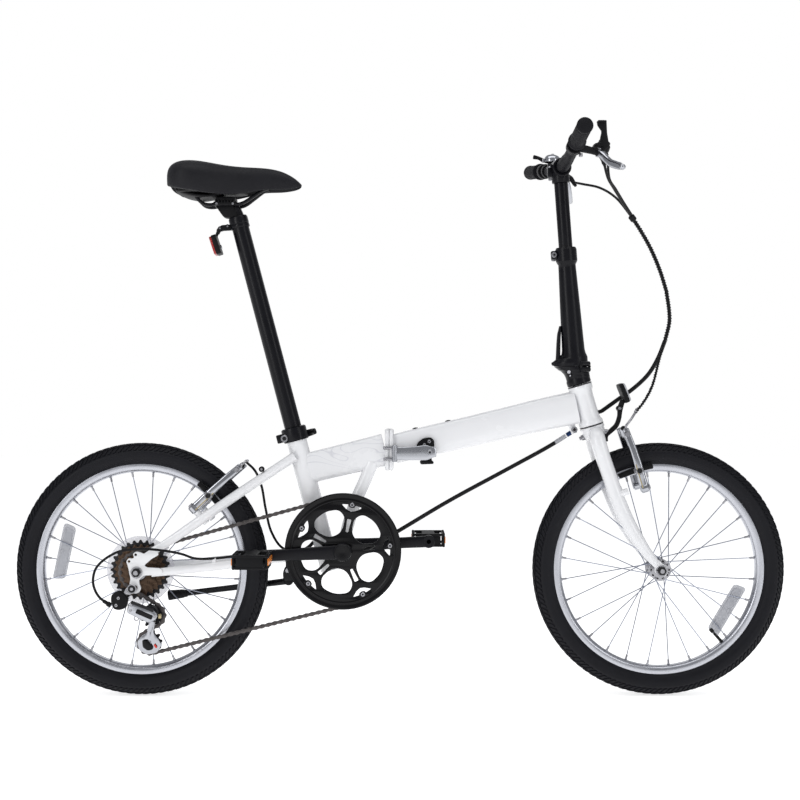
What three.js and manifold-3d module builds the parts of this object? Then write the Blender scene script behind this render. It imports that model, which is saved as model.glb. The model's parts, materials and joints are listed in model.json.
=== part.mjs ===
// A folding bicycle with 20 inch wheels: a main frame hinged in the middle, a folding and
// telescoping handlepost, and a seatpost that slides down through the seat tube.
// Units are millimetres. +X points to the front, +Y to the rider's left and +Z up.
// The origin lies on the ground, midway between the two wheel hubs.
import * as THREE from 'three';
import { mergeVertices } from 'three/addons/utils/BufferGeometryUtils.js';
import Module from 'manifold-3d';

const wasm = await Module();
wasm.setup();

// Driving dimensions
const WHEELBASE = 1024;
const WHEEL_RADIUS = 250;
const RIM_INNER_RADIUS = 192;
const RIM_HALF_WIDTH = 12.5;
const SPOKES_PER_WHEEL = 28;
const SPOKE_RADIUS = 1.2;
const GAP = 0.4;

const BOTTOM_BRACKET_X = -112;
const BOTTOM_BRACKET_Z = 289;
const CRANK_LENGTH = 170;
const CRANK_TILT = THREE.MathUtils.degToRad(2.7);
const CHAIN_LINE = -46;
const CHAIN_PITCH = 12.7;
const RING_TEETH = 52;
const RING_ARMS = 5;
const RING_TURN = THREE.MathUtils.degToRad(24.8);
const SPROCKET_TEETH = 18;
const PULLEY_TEETH = 11;
const CHAIN_HALF_HEIGHT = 4;
const CHAIN_HALF_WIDTH = 3;

const SEAT_TUBE_TILT = THREE.MathUtils.degToRad(14.75);
const SEAT_TUBE_RADIUS = 20;
const SEATPOST_RADIUS = 16.95;
const SEATPOST_BOTTOM_Z = 378;
const SEATPOST_TOP_Z = 952;

const HINGE_X = -22;
const HINGE_PIN_Y = 32;
const HINGE_BOTTOM_Z = 444.5;
const HINGE_TOP_Z = 527;
const BEAM_HEIGHT = 62;
const BEAM_WIDTH = 38;
const BEAM_BOSSES = [35.8, 99.8];
const BOSS_HEIGHT = 1.2;

const HEAD_TILT = THREE.MathUtils.degToRad(16.5);
const HEAD_BOTTOM = new THREE.Vector3(380.7, 0, 533);
const HEAD_LENGTH = 86;
const STEERER_RADIUS = 14.3;

const POST_TILT = THREE.MathUtils.degToRad(4.24);
const POST_HINGE = new THREE.Vector3(346.3, 0, 651);
const UPPER_POST_RADIUS = 13.65;
const BAR_CENTRE = new THREE.Vector3(318, 0, 1045);
const BAR_TWIST = THREE.MathUtils.degToRad(5);
const BAR_HALF_LENGTH = 280;
const BAR_RISE = 34;
const BAR_STRAIGHT = 24;
const BAR_SWEEP = 10;
const BAR_RADIUS = 11.1;
const GRIP_RADIUS = 16;
const GRIP_LENGTH = 96;

const REAR_HUB = new THREE.Vector3(-WHEELBASE / 2, 0, WHEEL_RADIUS);
const FRONT_HUB = new THREE.Vector3(WHEELBASE / 2, 0, WHEEL_RADIUS);
const BOTTOM_BRACKET = new THREE.Vector3(BOTTOM_BRACKET_X, 0, BOTTOM_BRACKET_Z);
const GUIDE_PULLEY = new THREE.Vector3(-484, CHAIN_LINE, 163);
const TENSION_PULLEY = new THREE.Vector3(-490, CHAIN_LINE, 111);

const LEFT = 1;
const RIGHT = -1;
const UP = new THREE.Vector3(0, 0, 1);
const SEAT_UP = new THREE.Vector3(-Math.sin(SEAT_TUBE_TILT), 0, Math.cos(SEAT_TUBE_TILT));
const STEER_UP = new THREE.Vector3(-Math.sin(HEAD_TILT), 0, Math.cos(HEAD_TILT));
const POST_UP = new THREE.Vector3(-Math.sin(POST_TILT), 0, Math.cos(POST_TILT));
const BAR_LEFT = new THREE.Vector3(-Math.sin(BAR_TWIST), Math.cos(BAR_TWIST), 0);
const BAR_FORWARD = new THREE.Vector3(Math.cos(BAR_TWIST), Math.sin(BAR_TWIST), 0);

const group = new THREE.Group();

// Materials
const paint = { color: 0xf4f4f6, roughness: 0.25, metalness: 0.0 };
const blackMetal = { color: 0x16171a, roughness: 0.4, metalness: 0.5 };
const blackPlastic = { color: 0x17181b, roughness: 0.6, metalness: 0.0 };
const silver = { color: 0xc9ccd2, roughness: 0.25, metalness: 1.0 };
const rubber = { color: 0x1b1c1f, roughness: 0.85, metalness: 0.0 };
const chainSteel = { color: 0x5a4c46, roughness: 0.5, metalness: 0.9 };
const leather = { color: 0x18191c, roughness: 0.7, metalness: 0.0 };

// Geometry helpers
function vec(x, y, z) {
  return new THREE.Vector3(x, y, z);
}

function add(name, geometry, finish) {
  const mesh = new THREE.Mesh(geometry, new THREE.MeshStandardMaterial(finish));
  mesh.name = name;
  group.add(mesh);
}

function toSolid(geometry) {
  const bare = geometry.clone();
  bare.deleteAttribute('normal');
  bare.deleteAttribute('uv');
  const merged = mergeVertices(bare, 1e-4);
  const mesh = new wasm.Mesh({
    numProp: 3,
    vertProperties: new Float32Array(merged.attributes.position.array),
    triVerts: new Uint32Array(merged.index.array),
  });
  return new wasm.Manifold(mesh);
}

function toGeometry(solid) {
  const mesh = solid.getMesh();
  const geometry = new THREE.BufferGeometry();
  geometry.setAttribute('position', new THREE.BufferAttribute(mesh.vertProperties, 3));
  geometry.setIndex(new THREE.BufferAttribute(mesh.triVerts, 1));
  return geometry;
}

function join(...geometries) {
  let solid = toSolid(geometries[0]);
  for (const geometry of geometries.slice(1)) {
    solid = solid.add(toSolid(geometry));
  }
  return toGeometry(solid);
}

function cut(geometry, ...tools) {
  let solid = toSolid(geometry);
  for (const tool of tools) {
    solid = solid.subtract(toSolid(tool));
  }
  return toGeometry(solid);
}

// A round bar from one point to another; its radius may change and its width in Y may be flattened.
function rod(start, end, radius, sides = 12, endRadius = radius, flatten = 1) {
  const axis = end.clone().sub(start);
  const geometry = new THREE.CylinderGeometry(endRadius, radius, axis.length(), sides);
  const turn = new THREE.Quaternion().setFromUnitVectors(vec(0, 1, 0), axis.clone().normalize());
  geometry.applyQuaternion(turn);
  geometry.scale(1, flatten, 1);
  const middle = start.clone().add(end).multiplyScalar(0.5);
  geometry.translate(middle.x, middle.y, middle.z);
  return geometry;
}

function box(low, high) {
  const size = high.clone().sub(low);
  const geometry = new THREE.BoxGeometry(size.x, size.y, size.z);
  const middle = low.clone().add(high).multiplyScalar(0.5);
  geometry.translate(middle.x, middle.y, middle.z);
  return geometry;
}

// A bent round bar through the given points.
function bentRod(points, radius, sides = 8, steps = 24) {
  const section = new THREE.Shape();
  for (let i = 0; i < sides; i += 1) {
    const angle = (2 * Math.PI * i) / sides;
    const x = radius * Math.cos(angle);
    const y = radius * Math.sin(angle);
    if (i === 0) {
      section.moveTo(x, y);
    } else {
      section.lineTo(x, y);
    }
  }
  section.closePath();
  const extrudePath = new THREE.CatmullRomCurve3(points, false, 'centripetal');
  return new THREE.ExtrudeGeometry(section, { steps, bevelEnabled: false, extrudePath });
}

// A ring turned about the Y axis through a hub; profile points are [radius, y].
function turned(profile, centre, segments) {
  const points = profile.map(([radius, y]) => new THREE.Vector2(radius, y));
  if (THREE.ShapeUtils.area(points) < 0) {
    points.reverse();
  }
  points.push(points[0].clone());
  const geometry = new THREE.LatheGeometry(points, segments);
  geometry.translate(centre.x, centre.y, centre.z);
  return geometry;
}

// A sleeve: a round tube with a round bore, along any line.
function sleeve(start, end, radius, bore, sides = 16) {
  const reach = end.clone().sub(start).normalize();
  const before = start.clone().sub(reach);
  const after = end.clone().add(reach);
  return cut(rod(start, end, radius, sides), rod(before, after, bore, sides));
}

// A flat plate in the XZ plane between two Y values, from a list of [x, z] corners.
function plate(corners, lowY, highY) {
  const shape = new THREE.Shape(corners.map(([x, z]) => new THREE.Vector2(x, z)));
  const geometry = new THREE.ExtrudeGeometry(shape, { depth: highY - lowY, bevelEnabled: false });
  geometry.rotateX(Math.PI / 2);
  geometry.translate(0, highY, 0);
  return geometry;
}

// A straight bar with a rounded rectangular section, between two points of the XZ plane.
function boxBeam(start, end, height, width, corner) {
  const h = height / 2;
  const w = width / 2;
  const section = new THREE.Shape();
  section.moveTo(-w + corner, -h);
  section.lineTo(w - corner, -h);
  section.quadraticCurveTo(w, -h, w, -h + corner);
  section.lineTo(w, h - corner);
  section.quadraticCurveTo(w, h, w - corner, h);
  section.lineTo(-w + corner, h);
  section.quadraticCurveTo(-w, h, -w, h - corner);
  section.lineTo(-w, -h + corner);
  section.quadraticCurveTo(-w, -h, -w + corner, -h);
  const axis = end.clone().sub(start);
  const options = { depth: axis.length(), bevelEnabled: false, curveSegments: 4 };
  const geometry = new THREE.ExtrudeGeometry(section, options);
  const forward = axis.clone().normalize();
  const left = vec(0, 1, 0);
  const top = forward.clone().cross(left);
  geometry.applyMatrix4(new THREE.Matrix4().makeBasis(left, top, forward));
  geometry.translate(start.x, start.y, start.z);
  return geometry;
}

function seatPoint(z) {
  const reach = (z - 544.9) / SEAT_UP.z;
  return vec(-217, 0, 544.9).addScaledVector(SEAT_UP, reach);
}

function postPoint(z) {
  const reach = (z - POST_HINGE.z) / POST_UP.z;
  return POST_HINGE.clone().addScaledVector(POST_UP, reach);
}

function headPoint(distance) {
  return HEAD_BOTTOM.clone().addScaledVector(STEER_UP, distance);
}

function pitchRadius(teeth) {
  return CHAIN_PITCH / (2 * Math.sin(Math.PI / teeth));
}

// Wheels
function tyre() {
  const r = WHEEL_RADIUS;
  return [
    [r - 46, -9.9], [r - 46, 9.9], [r - 39, 10], [r - 23, 23.5], [r - 8, 18],
    [r, 6], [r, -6], [r - 8, -18], [r - 23, -23.5], [r - 39, -10],
  ];
}

function rim() {
  const r = RIM_INNER_RADIUS;
  const w = RIM_HALF_WIDTH;
  return [
    [r, -7], [r, 7], [r + 5, w], [r + 18, w], [r + 11.6, w - 2.1],
    [r + 11.6, 2.1 - w], [r + 18, -w], [r + 5, -w],
  ];
}

// The hub shell with its two flanges and the crossed spokes.
function hub(centre, [rightEnd, rightFlange, leftFlange, leftEnd], bodyRadius, flangeRadius, bore) {
  const profile = [
    [bore, rightEnd], [bodyRadius - 3, rightEnd], [bodyRadius - 3, rightFlange - 1.5],
    [flangeRadius, rightFlange - 1.5], [flangeRadius, rightFlange + 1.5],
    [bodyRadius, rightFlange + 1.5], [bodyRadius, leftFlange - 1.5],
    [flangeRadius, leftFlange - 1.5], [flangeRadius, leftFlange + 1.5],
    [bodyRadius - 3, leftFlange + 1.5], [bodyRadius - 3, leftEnd], [bore, leftEnd],
  ];
  const pieces = [turned(profile, centre, 12)];
  const crossing = THREE.MathUtils.degToRad(51);
  for (let i = 0; i < SPOKES_PER_WHEEL; i += 1) {
    const rimAngle = (2 * Math.PI * (i + 0.5)) / SPOKES_PER_WHEEL;
    const lean = i % 4 < 2 ? crossing : -crossing;
    const flange = i % 2 === 0 ? rightFlange : leftFlange;
    const hubAngle = rimAngle + lean;
    const inner = flangeRadius - 3;
    const outer = RIM_INNER_RADIUS - 1.6;
    const start = vec(inner * Math.cos(hubAngle), flange, inner * Math.sin(hubAngle));
    const end = vec(outer * Math.cos(rimAngle), 0, outer * Math.sin(rimAngle));
    pieces.push(rod(start.add(centre), end.add(centre), SPOKE_RADIUS, 3));
  }
  return join(...pieces);
}

function wheels() {
  add('rear_tyre', turned(tyre(), REAR_HUB, 32), rubber);
  add('rear_rim', turned(rim(), REAR_HUB, 32), silver);
  add('rear_hub', hub(REAR_HUB, [-23.4, -19, 34, 42], 16, 22, 5.9), silver);
  add('front_tyre', turned(tyre(), FRONT_HUB, 32), rubber);
  add('front_rim', turned(rim(), FRONT_HUB, 32), silver);
  add('front_hub', hub(FRONT_HUB, [-32, -25, 25, 32], 12, 19, 5.9), silver);
}

// The fixed axle with its locknuts inside the dropouts and its nuts outside them.
function axle(centre, innerY, outerY, endY) {
  const at = (y) => vec(centre.x, y, centre.z);
  return join(
    rod(at(-endY), at(endY), 5, 10),
    rod(at(-innerY), at(-innerY + 5), 9, 10),
    rod(at(innerY - 5), at(innerY), 9, 10),
    rod(at(-outerY - 7), at(-outerY), 9, 6),
    rod(at(outerY), at(outerY + 7), 9, 6),
  );
}

// Rear frame
function seatTube() {
  const outer = rod(seatPoint(247), seatPoint(529), SEAT_TUBE_RADIUS, 20);
  const bore = rod(seatPoint(240), seatPoint(535), SEATPOST_RADIUS + GAP, 20);
  const at = (y) => vec(BOTTOM_BRACKET_X, y, BOTTOM_BRACKET_Z);
  const shell = rod(at(-34), at(34), 20, 20);
  return cut(join(outer, shell), bore, rod(at(-40), at(40), 16.4, 20));
}

function bottomBracket() {
  const profile = [[8.8, -33], [15.9, -33], [15.9, 33], [8.8, 33]];
  return turned(profile, BOTTOM_BRACKET, 16);
}

function hingePlate(lowX, highX) {
  return box(vec(lowX, -27, HINGE_BOTTOM_Z), vec(highX, HINGE_PIN_Y, HINGE_TOP_Z));
}

function hingeBarrel(lowZ, highZ, radius) {
  return rod(vec(HINGE_X, HINGE_PIN_Y, lowZ), vec(HINGE_X, HINGE_PIN_Y, highZ), radius, 16);
}

function rearBeam() {
  const beam = boxBeam(vec(-191, 0, 447.2), vec(-33, 0, 485.4), BEAM_HEIGHT, BEAM_WIDTH - 2, 12);
  const seat = rod(seatPoint(380), seatPoint(560), SEAT_TUBE_RADIUS + GAP, 20);
  const trimmed = cut(beam, seat);
  const casing = cut(hingePlate(-30, HINGE_X - 0.2), hingeBarrel(464, 508, 10));
  return join(trimmed, casing, hingeBarrel(446, 464.6, 9), hingeBarrel(507.4, 525.5, 9));
}

function braceTubes() {
  const tube = (side) => bentRod([
    vec(-52, side * 10, 462), vec(-70, side * 11, 420), vec(-90, side * 9, 380),
    vec(-110, side * 9, 322), vec(-113, side * 9, 300),
  ], 12, 8, 6);
  const beam = boxBeam(vec(-250, 0, 432.9), vec(20, 0, 498.2), BEAM_HEIGHT + 2 * GAP, BEAM_WIDTH, 12);
  const right = vec(BOTTOM_BRACKET_X, -60, BOTTOM_BRACKET_Z);
  const left = vec(BOTTOM_BRACKET_X, 60, BOTTOM_BRACKET_Z);
  const seat = rod(seatPoint(250), seatPoint(520), SEAT_TUBE_RADIUS + GAP, 20);
  return cut(join(tube(LEFT), tube(RIGHT)), beam, rod(right, left, 20 + GAP, 20), seat);
}

function chainstay(side) {
  const tube = bentRod([
    vec(-146, side * 18, 282), vec(-226, side * 27, 275),
    vec(-330, side * 48, 264), vec(-400, side * 58, 256.5), vec(-480, side * 63, 248.6),
  ], 9, 10, 12);
  const seat = rod(seatPoint(230), seatPoint(330), SEAT_TUBE_RADIUS + GAP, 20);
  const corners = [
    [-470, 240], [-500, 238], [-503, 224], [-508, 208], [-522, 204], [-532, 212], [-530, 228],
    [-534, 242], [-533, 262], [-530, 275], [-520, 286], [-505, 292], [-494, 290], [-500, 272], [-470, 258],
  ];
  const rightPlate = plate(corners, -71, -65);
  const leftCorners = corners.filter(([, z]) => z > 230);
  const dropout = side === RIGHT ? rightPlate : plate(leftCorners, 65, 71);
  const outside = box(vec(-560, 71, 200), vec(-440, 90, 320));
  const outsideRight = box(vec(-560, -90, 200), vec(-440, -71, 320));
  const axleRight = vec(REAR_HUB.x, -90, REAR_HUB.z);
  const axleLeft = vec(REAR_HUB.x, 90, REAR_HUB.z);
  const trimmed = cut(join(tube, dropout), outside, outsideRight);
  const eyelet = rod(vec(-516, side * 68, 281), vec(-516, side * (71 + BOSS_HEIGHT), 281), 5.4, 14);
  return cut(join(trimmed, eyelet), seat, rod(axleRight, axleLeft, 5.4, 10));
}

function seatstay(side) {
  const tube = bentRod([
    vec(-488, side * 63, 296), vec(-440, side * 60, 318), vec(-386, side * 55, 354.5),
    vec(-320, side * 42, 399), vec(-205, side * 24, 475.5),
  ], 9.5, 10, 12);
  const seat = rod(seatPoint(420), seatPoint(520), SEAT_TUBE_RADIUS + GAP, 20);
  const boss = rod(vec(-386, side * 52, 354), vec(-397, side * 50, 366), 7, 10);
  const beam = boxBeam(vec(-250, 0, 432.9), vec(20, 0, 498.2), BEAM_HEIGHT + 2 * GAP, BEAM_WIDTH, 12);
  const dropout = box(vec(-560, side * 64.6 - 8, 200), vec(-484, side * 64.6 + 8, 293));
  const outside = box(vec(-560, side * 81 - 10.4, 200), vec(-470, side * 81 + 10.4, 340));
  const lowY = side === LEFT ? -40 - GAP : -GAP;
  const highY = side === LEFT ? GAP : 40 + GAP;
  const middle = box(vec(-300, lowY, 380), vec(-150, highY, 520));
  return cut(join(tube, boss), seat, beam, dropout, outside, middle);
}

function seatClamp() {
  const ring = rod(seatPoint(503), seatPoint(531), 25, 20);
  const ears = box(vec(-240, -14, 500), vec(-212, 14, 516));
  const post = rod(seatPoint(480), seatPoint(560), SEATPOST_RADIUS + GAP, 20);
  const tube = rod(seatPoint(480), seatPoint(529 + GAP), SEAT_TUBE_RADIUS + GAP, 20);
  return cut(join(ring, ears), post, tube);
}

function seatClampLever() {
  const pivot = rod(vec(-229, 24, 502), vec(-233, 24, 516), 8, 12);
  const blade = bentRod([
    vec(-228, 29, 509), vec(-205, 35, 513), vec(-182, 31, 519), vec(-172, 18, 522),
  ], 5, 8, 10);
  return join(pivot, blade);
}

function rearFrame() {
  add('seat_tube', seatTube(), paint);
  add('bottom_bracket', bottomBracket(), blackMetal);
  add('rear_beam', rearBeam(), paint);
  add('brace_tubes', braceTubes(), paint);
  for (const [side, word] of [[RIGHT, 'right'], [LEFT, 'left']]) {
    add(`chainstay_${word}`, chainstay(side), paint);
    add(`seatstay_${word}`, seatstay(side), paint);
  }
  add('seat_clamp', seatClamp(), blackMetal);
  add('seat_clamp_lever', seatClampLever(), blackMetal);
  add('rear_axle', axle(REAR_HUB, 64.6, 71.4, 84), silver);
}

// Front frame
const BEAM_START = vec(-12, 0, 488);
const BEAM_END = vec(358, 0, 572.5);
const BEAM_ALONG = BEAM_END.clone().sub(BEAM_START).normalize();
const BEAM_UP = vec(-BEAM_ALONG.z, 0, BEAM_ALONG.x);

// A point over the middle of the front beam's top face.
function beamTop(along, height) {
  const middle = BEAM_START.clone().addScaledVector(BEAM_ALONG, along);
  return middle.addScaledVector(BEAM_UP, BEAM_HEIGHT / 2 + height);
}

function frontBeam() {
  const beam = boxBeam(BEAM_START, BEAM_END, BEAM_HEIGHT, BEAM_WIDTH, 12);
  const casing = cut(hingePlate(HINGE_X + 0.2, -14), hingeBarrel(440, 465, 10), hingeBarrel(507, 530, 10));
  const barrel = hingeBarrel(465, 507, 9);
  const head = rod(headPoint(0), headPoint(HEAD_LENGTH), 24, 20);
  const lug = box(vec(330, -5, 512), vec(352, 5, 545));
  const bore = rod(headPoint(-10), headPoint(HEAD_LENGTH + 10), STEERER_RADIUS + GAP, 20);
  const bosses = BEAM_BOSSES.map((along) => rod(beamTop(along, -4), beamTop(along, BOSS_HEIGHT), 6, 16));
  return cut(join(beam, casing, barrel, head, lug, ...bosses), bore);
}

function latchLever() {
  const barrel = rod(vec(-11, -34, 462), vec(-11, -34, 496), 6, 10);
  const blade = box(vec(-11, -38, 465), vec(69, -30, 493));
  return join(barrel, blade);
}

function latchCatch() {
  return box(vec(28, -28.5, 457), vec(68, -20.5, 512));
}

function frontFrame() {
  add('front_beam', frontBeam(), paint);
  add('latch_lever', latchLever(), silver);
  add('latch_catch', latchCatch(), blackPlastic);
  add('frame_tension_cable', bentRod([
    vec(328, 0, 519), vec(215, 0, 450), vec(98, 0, 385), vec(-8, 0, 322), vec(-86, 0, 277),
  ], 4, 8, 10), blackPlastic);
}

// Fork
function blade(side) {
  const stations = [
    [384, 515, 14], [407, 445, 14.5], [424, 396, 14], [450, 338, 12.5], [482, 288, 10.5], [507, 257, 8.5],
  ];
  const pieces = [];
  for (let i = 0; i + 1 < stations.length; i += 1) {
    const [x0, z0, r0] = stations[i];
    const [x1, z1, r1] = stations[i + 1];
    const y = side * 40;
    const overlap = vec(x1 - x0, 0, z1 - z0).normalize().multiplyScalar(3);
    pieces.push(rod(vec(x0, y, z0).sub(overlap), vec(x1, y, z1).add(overlap), r0, 8, r1, 0.7));
  }
  const lowY = side === LEFT ? 37.6 : -42.4;
  pieces.push(plate([[499, 240], [524, 240], [524, 262], [512, 270], [499, 270]], lowY, lowY + 4.8));
  pieces.push(rod(vec(424, side * 42, 398), vec(447, side * 42, 406), 7, 10));
  return pieces;
}

function fork() {
  const steerer = rod(headPoint(-6), headPoint(HEAD_LENGTH + 4), STEERER_RADIUS, 16);
  const crown = rod(headPoint(-22), headPoint(-GAP), 23, 16);
  const shoulder = box(vec(370, -46, 504), vec(400, 46, 526));
  const pieces = [steerer, crown, shoulder, ...blade(LEFT), ...blade(RIGHT)];
  return join(...pieces, axle(FRONT_HUB, 37.8, 42, 55));
}

function handlepostBase() {
  const boss = rod(headPoint(HEAD_LENGTH + GAP), headPoint(HEAD_LENGTH + 28), 24, 16);
  const flange = rod(postPoint(638), postPoint(650.8), 26, 16);
  const knuckle = rod(vec(350.5, -33.5, 645.3), vec(380.5, -3.5, 645.3), 5.3, 10);
  const web = box(vec(350, -26, 640), vec(366, -4, 650.6));
  const steerer = rod(headPoint(60), headPoint(HEAD_LENGTH + 4 + GAP), STEERER_RADIUS + GAP, 16);
  return cut(join(boss, flange, knuckle, web), steerer);
}

function lowerHandlepost() {
  const flange = rod(postPoint(651.2), postPoint(672), 27, 16, 24);
  const tube = rod(postPoint(665), postPoint(880), 22.5, 16, 17);
  const collar = rod(postPoint(855), postPoint(888), 20, 16);
  const lug = box(vec(296, -9, 862), vec(322, 9, 878));
  const bore = rod(postPoint(668), postPoint(900), UPPER_POST_RADIUS + GAP, 16);
  return cut(join(flange, tube, collar, lug), bore);
}

function handlepostLatch() {
  const pivot = rod(vec(313, -10, 660), vec(313, 10, 660), 6, 10);
  const lever = bentRod([vec(313, 0, 660), vec(311, 0, 690), vec(309.5, 0, 740)], 6, 8, 6);
  return join(pivot, lever);
}

function telescopeLever() {
  const pivot = rod(vec(306, 13, 862), vec(306, 13, 878), 3.6, 10);
  const lever = rod(vec(306, 13, 870), vec(336, 34, 872), 3.6, 8);
  return join(pivot, lever);
}

function steering() {
  add('fork', fork(), paint);
  add('handlepost_base', handlepostBase(), blackMetal);
  add('lower_handlepost', lowerHandlepost(), blackMetal);
  add('handlepost_latch', handlepostLatch(), blackMetal);
  add('telescope_lever', telescopeLever(), blackMetal);
}

// Handlebar and controls. Places along the bar are given from its middle, outward.
function barPoint(side, along, forward = 0, up = 0) {
  const sweep = along < 95 ? 0 : (BAR_SWEEP * (along - 95)) / (BAR_HALF_LENGTH - 95);
  const rise = (BAR_RISE * Math.max(0, along - BAR_STRAIGHT)) / (BAR_HALF_LENGTH - BAR_STRAIGHT);
  const point = BAR_CENTRE.clone().addScaledVector(BAR_LEFT, side * along);
  return point.addScaledVector(BAR_FORWARD, forward - sweep).addScaledVector(UP, rise + up);
}

function upperHandlepost() {
  const tube = rod(postPoint(778), postPoint(1040), UPPER_POST_RADIUS, 16);
  const right = BAR_CENTRE.clone().addScaledVector(BAR_LEFT, -22);
  const left = BAR_CENTRE.clone().addScaledVector(BAR_LEFT, 22);
  const clamp = rod(right, left, 19, 16);
  const rightFar = BAR_CENTRE.clone().addScaledVector(BAR_LEFT, -30);
  const leftFar = BAR_CENTRE.clone().addScaledVector(BAR_LEFT, 30);
  return cut(join(tube, clamp), rod(rightFar, leftFar, 12.7 + GAP, 16));
}

function handlebar() {
  const points = [];
  for (const side of [RIGHT, LEFT]) {
    const half = [
      barPoint(side, BAR_HALF_LENGTH), barPoint(side, 190), barPoint(side, 110),
      barPoint(side, 60), barPoint(side, BAR_STRAIGHT),
    ];
    points.push(...(side === RIGHT ? half : half.reverse()));
  }
  return bentRod(points, BAR_RADIUS, 8, 30);
}

function ringOnBar(side, from, to, radius, bore = BAR_RADIUS + 0.8) {
  return sleeve(barPoint(side, from), barPoint(side, to), radius, bore, 12);
}

// The brake lever's perch, clamped round the bar. The right one shares its clamp with the shifter.
function perch(side) {
  const ring = ringOnBar(side, 146, 162, 16);
  const arm = rod(barPoint(side, 152, 14, -3), barPoint(side, 152, 46, -10), 7, 8);
  if (side === LEFT) {
    return join(ring, arm);
  }
  const shifter = rod(barPoint(RIGHT, 133, 56, 0), barPoint(RIGHT, 133, 60, 12), 13, 14);
  const bracket = rod(barPoint(RIGHT, 152, 38, -7), barPoint(RIGHT, 134, 53, 5), 7, 8);
  return join(ring, arm, bracket, shifter);
}

function brakeLever(side) {
  const blade = [
    barPoint(side, 163, 47, -13), barPoint(side, 176, 56, -28), barPoint(side, 206, 68, -48),
    barPoint(side, 238, 77, -62),
  ];
  return bentRod(blade, 5, 8, 12);
}

function bell() {
  const ring = ringOnBar(LEFT, 118, 128, 14.5);
  const dome = rod(barPoint(LEFT, 123, 8, 12), barPoint(LEFT, 123, 10, 34), 17, 14, 12);
  const bar = rod(barPoint(LEFT, 80), barPoint(LEFT, 180), BAR_RADIUS + 0.8, 12);
  return cut(join(ring, dome), bar);
}

function handlebarSet() {
  add('upper_handlepost', upperHandlepost(), blackMetal);
  add('handlebar', handlebar(), blackMetal);
  for (const [side, word] of [[RIGHT, 'right'], [LEFT, 'left']]) {
    const inner = BAR_HALF_LENGTH + 3 - GRIP_LENGTH;
    add(`grip_${word}`, ringOnBar(side, inner, BAR_HALF_LENGTH + 3, GRIP_RADIUS), rubber);
    add(`brake_lever_${word}`, brakeLever(side), silver);
    add(`lever_perch_${word}`, perch(side), blackPlastic);
  }
  add('shift_lever', join(
    rod(barPoint(RIGHT, 133, 60.3, 12.6), barPoint(RIGHT, 133, 62, 17.6), 11, 12),
    rod(barPoint(RIGHT, 133, 61, 16), barPoint(RIGHT, 147, 55, 50), 4.5, 8),
  ), blackPlastic);
  add('bell', bell(), silver);
  add('bell_striker', rod(barPoint(LEFT, 123, -10, 22), barPoint(LEFT, 123, -28, 28), 3.5, 8), blackPlastic);
}

// Cranks, pedals and chainring
function crankEnd(side) {
  const along = side * CRANK_LENGTH;
  return vec(
    BOTTOM_BRACKET_X + along * Math.cos(CRANK_TILT), 0, BOTTOM_BRACKET_Z + along * Math.sin(CRANK_TILT),
  );
}

function crank(side) {
  const inner = side === RIGHT ? -57.5 : 61;
  const outer = side === RIGHT ? -71.5 : 75;
  const middle = (inner + outer) / 2;
  const end = crankEnd(side);
  const at = (point, y) => vec(point.x, y, point.z);
  const arm = rod(at(BOTTOM_BRACKET, middle), at(end, middle), 13, 12, 11, 0.55);
  const stub = rod(at(end, middle), at(end, side * 172), 6.5, 10);
  const eye = rod(at(end, inner), at(end, outer), 13, 12);
  if (side === RIGHT) {
    const boss = rod(at(BOTTOM_BRACKET, -53.5), at(BOTTOM_BRACKET, -76), 20, 16);
    return join(arm, stub, eye, boss);
  }
  const boss = rod(at(BOTTOM_BRACKET, 40), at(BOTTOM_BRACKET, 77), 18, 16);
  const spindle = rod(at(BOTTOM_BRACKET, -53), at(BOTTOM_BRACKET, 60), 8.4, 12);
  return join(arm, stub, eye, boss, spindle);
}

function chainring() {
  const guard = [[8.9, -53], [114, -53], [114, -49.6], [8.9, -49.6]];
  const teeth = [[86, -50], [99.4, -50], [99.4, -44.5], [86, -44.5]];
  const disc = join(turned(guard, BOTTOM_BRACKET, 32), turned(teeth, BOTTOM_BRACKET, 32));
  const windows = [];
  for (let i = 0; i < RING_ARMS; i += 1) {
    const angle = RING_TURN + (2 * Math.PI * (i + 0.25)) / RING_ARMS;
    const x = BOTTOM_BRACKET_X + 58 * Math.cos(angle);
    const z = BOTTOM_BRACKET_Z + 58 * Math.sin(angle);
    windows.push(rod(vec(x, -60, z), vec(x, -40, z), 25, 10));
  }
  return cut(disc, ...windows);
}

function pedal(side) {
  const end = crankEnd(side);
  const inner = side * 90;
  const outer = side * 184;
  const low = Math.min(inner, outer);
  const high = Math.max(inner, outer);
  const body = box(vec(end.x - 34, low, end.z - 12), vec(end.x + 34, high, end.z + 12));
  const windows = [];
  for (const edge of [-1, 1]) {
    const middle = end.x + edge * 20;
    windows.push(box(vec(middle - 8, low + 14, end.z - 20), vec(middle + 8, high - 14, end.z + 20)));
  }
  const bore = rod(vec(end.x, side * 80, end.z), vec(end.x, side * 176, end.z), 7, 10);
  return cut(body, ...windows, bore);
}

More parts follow.
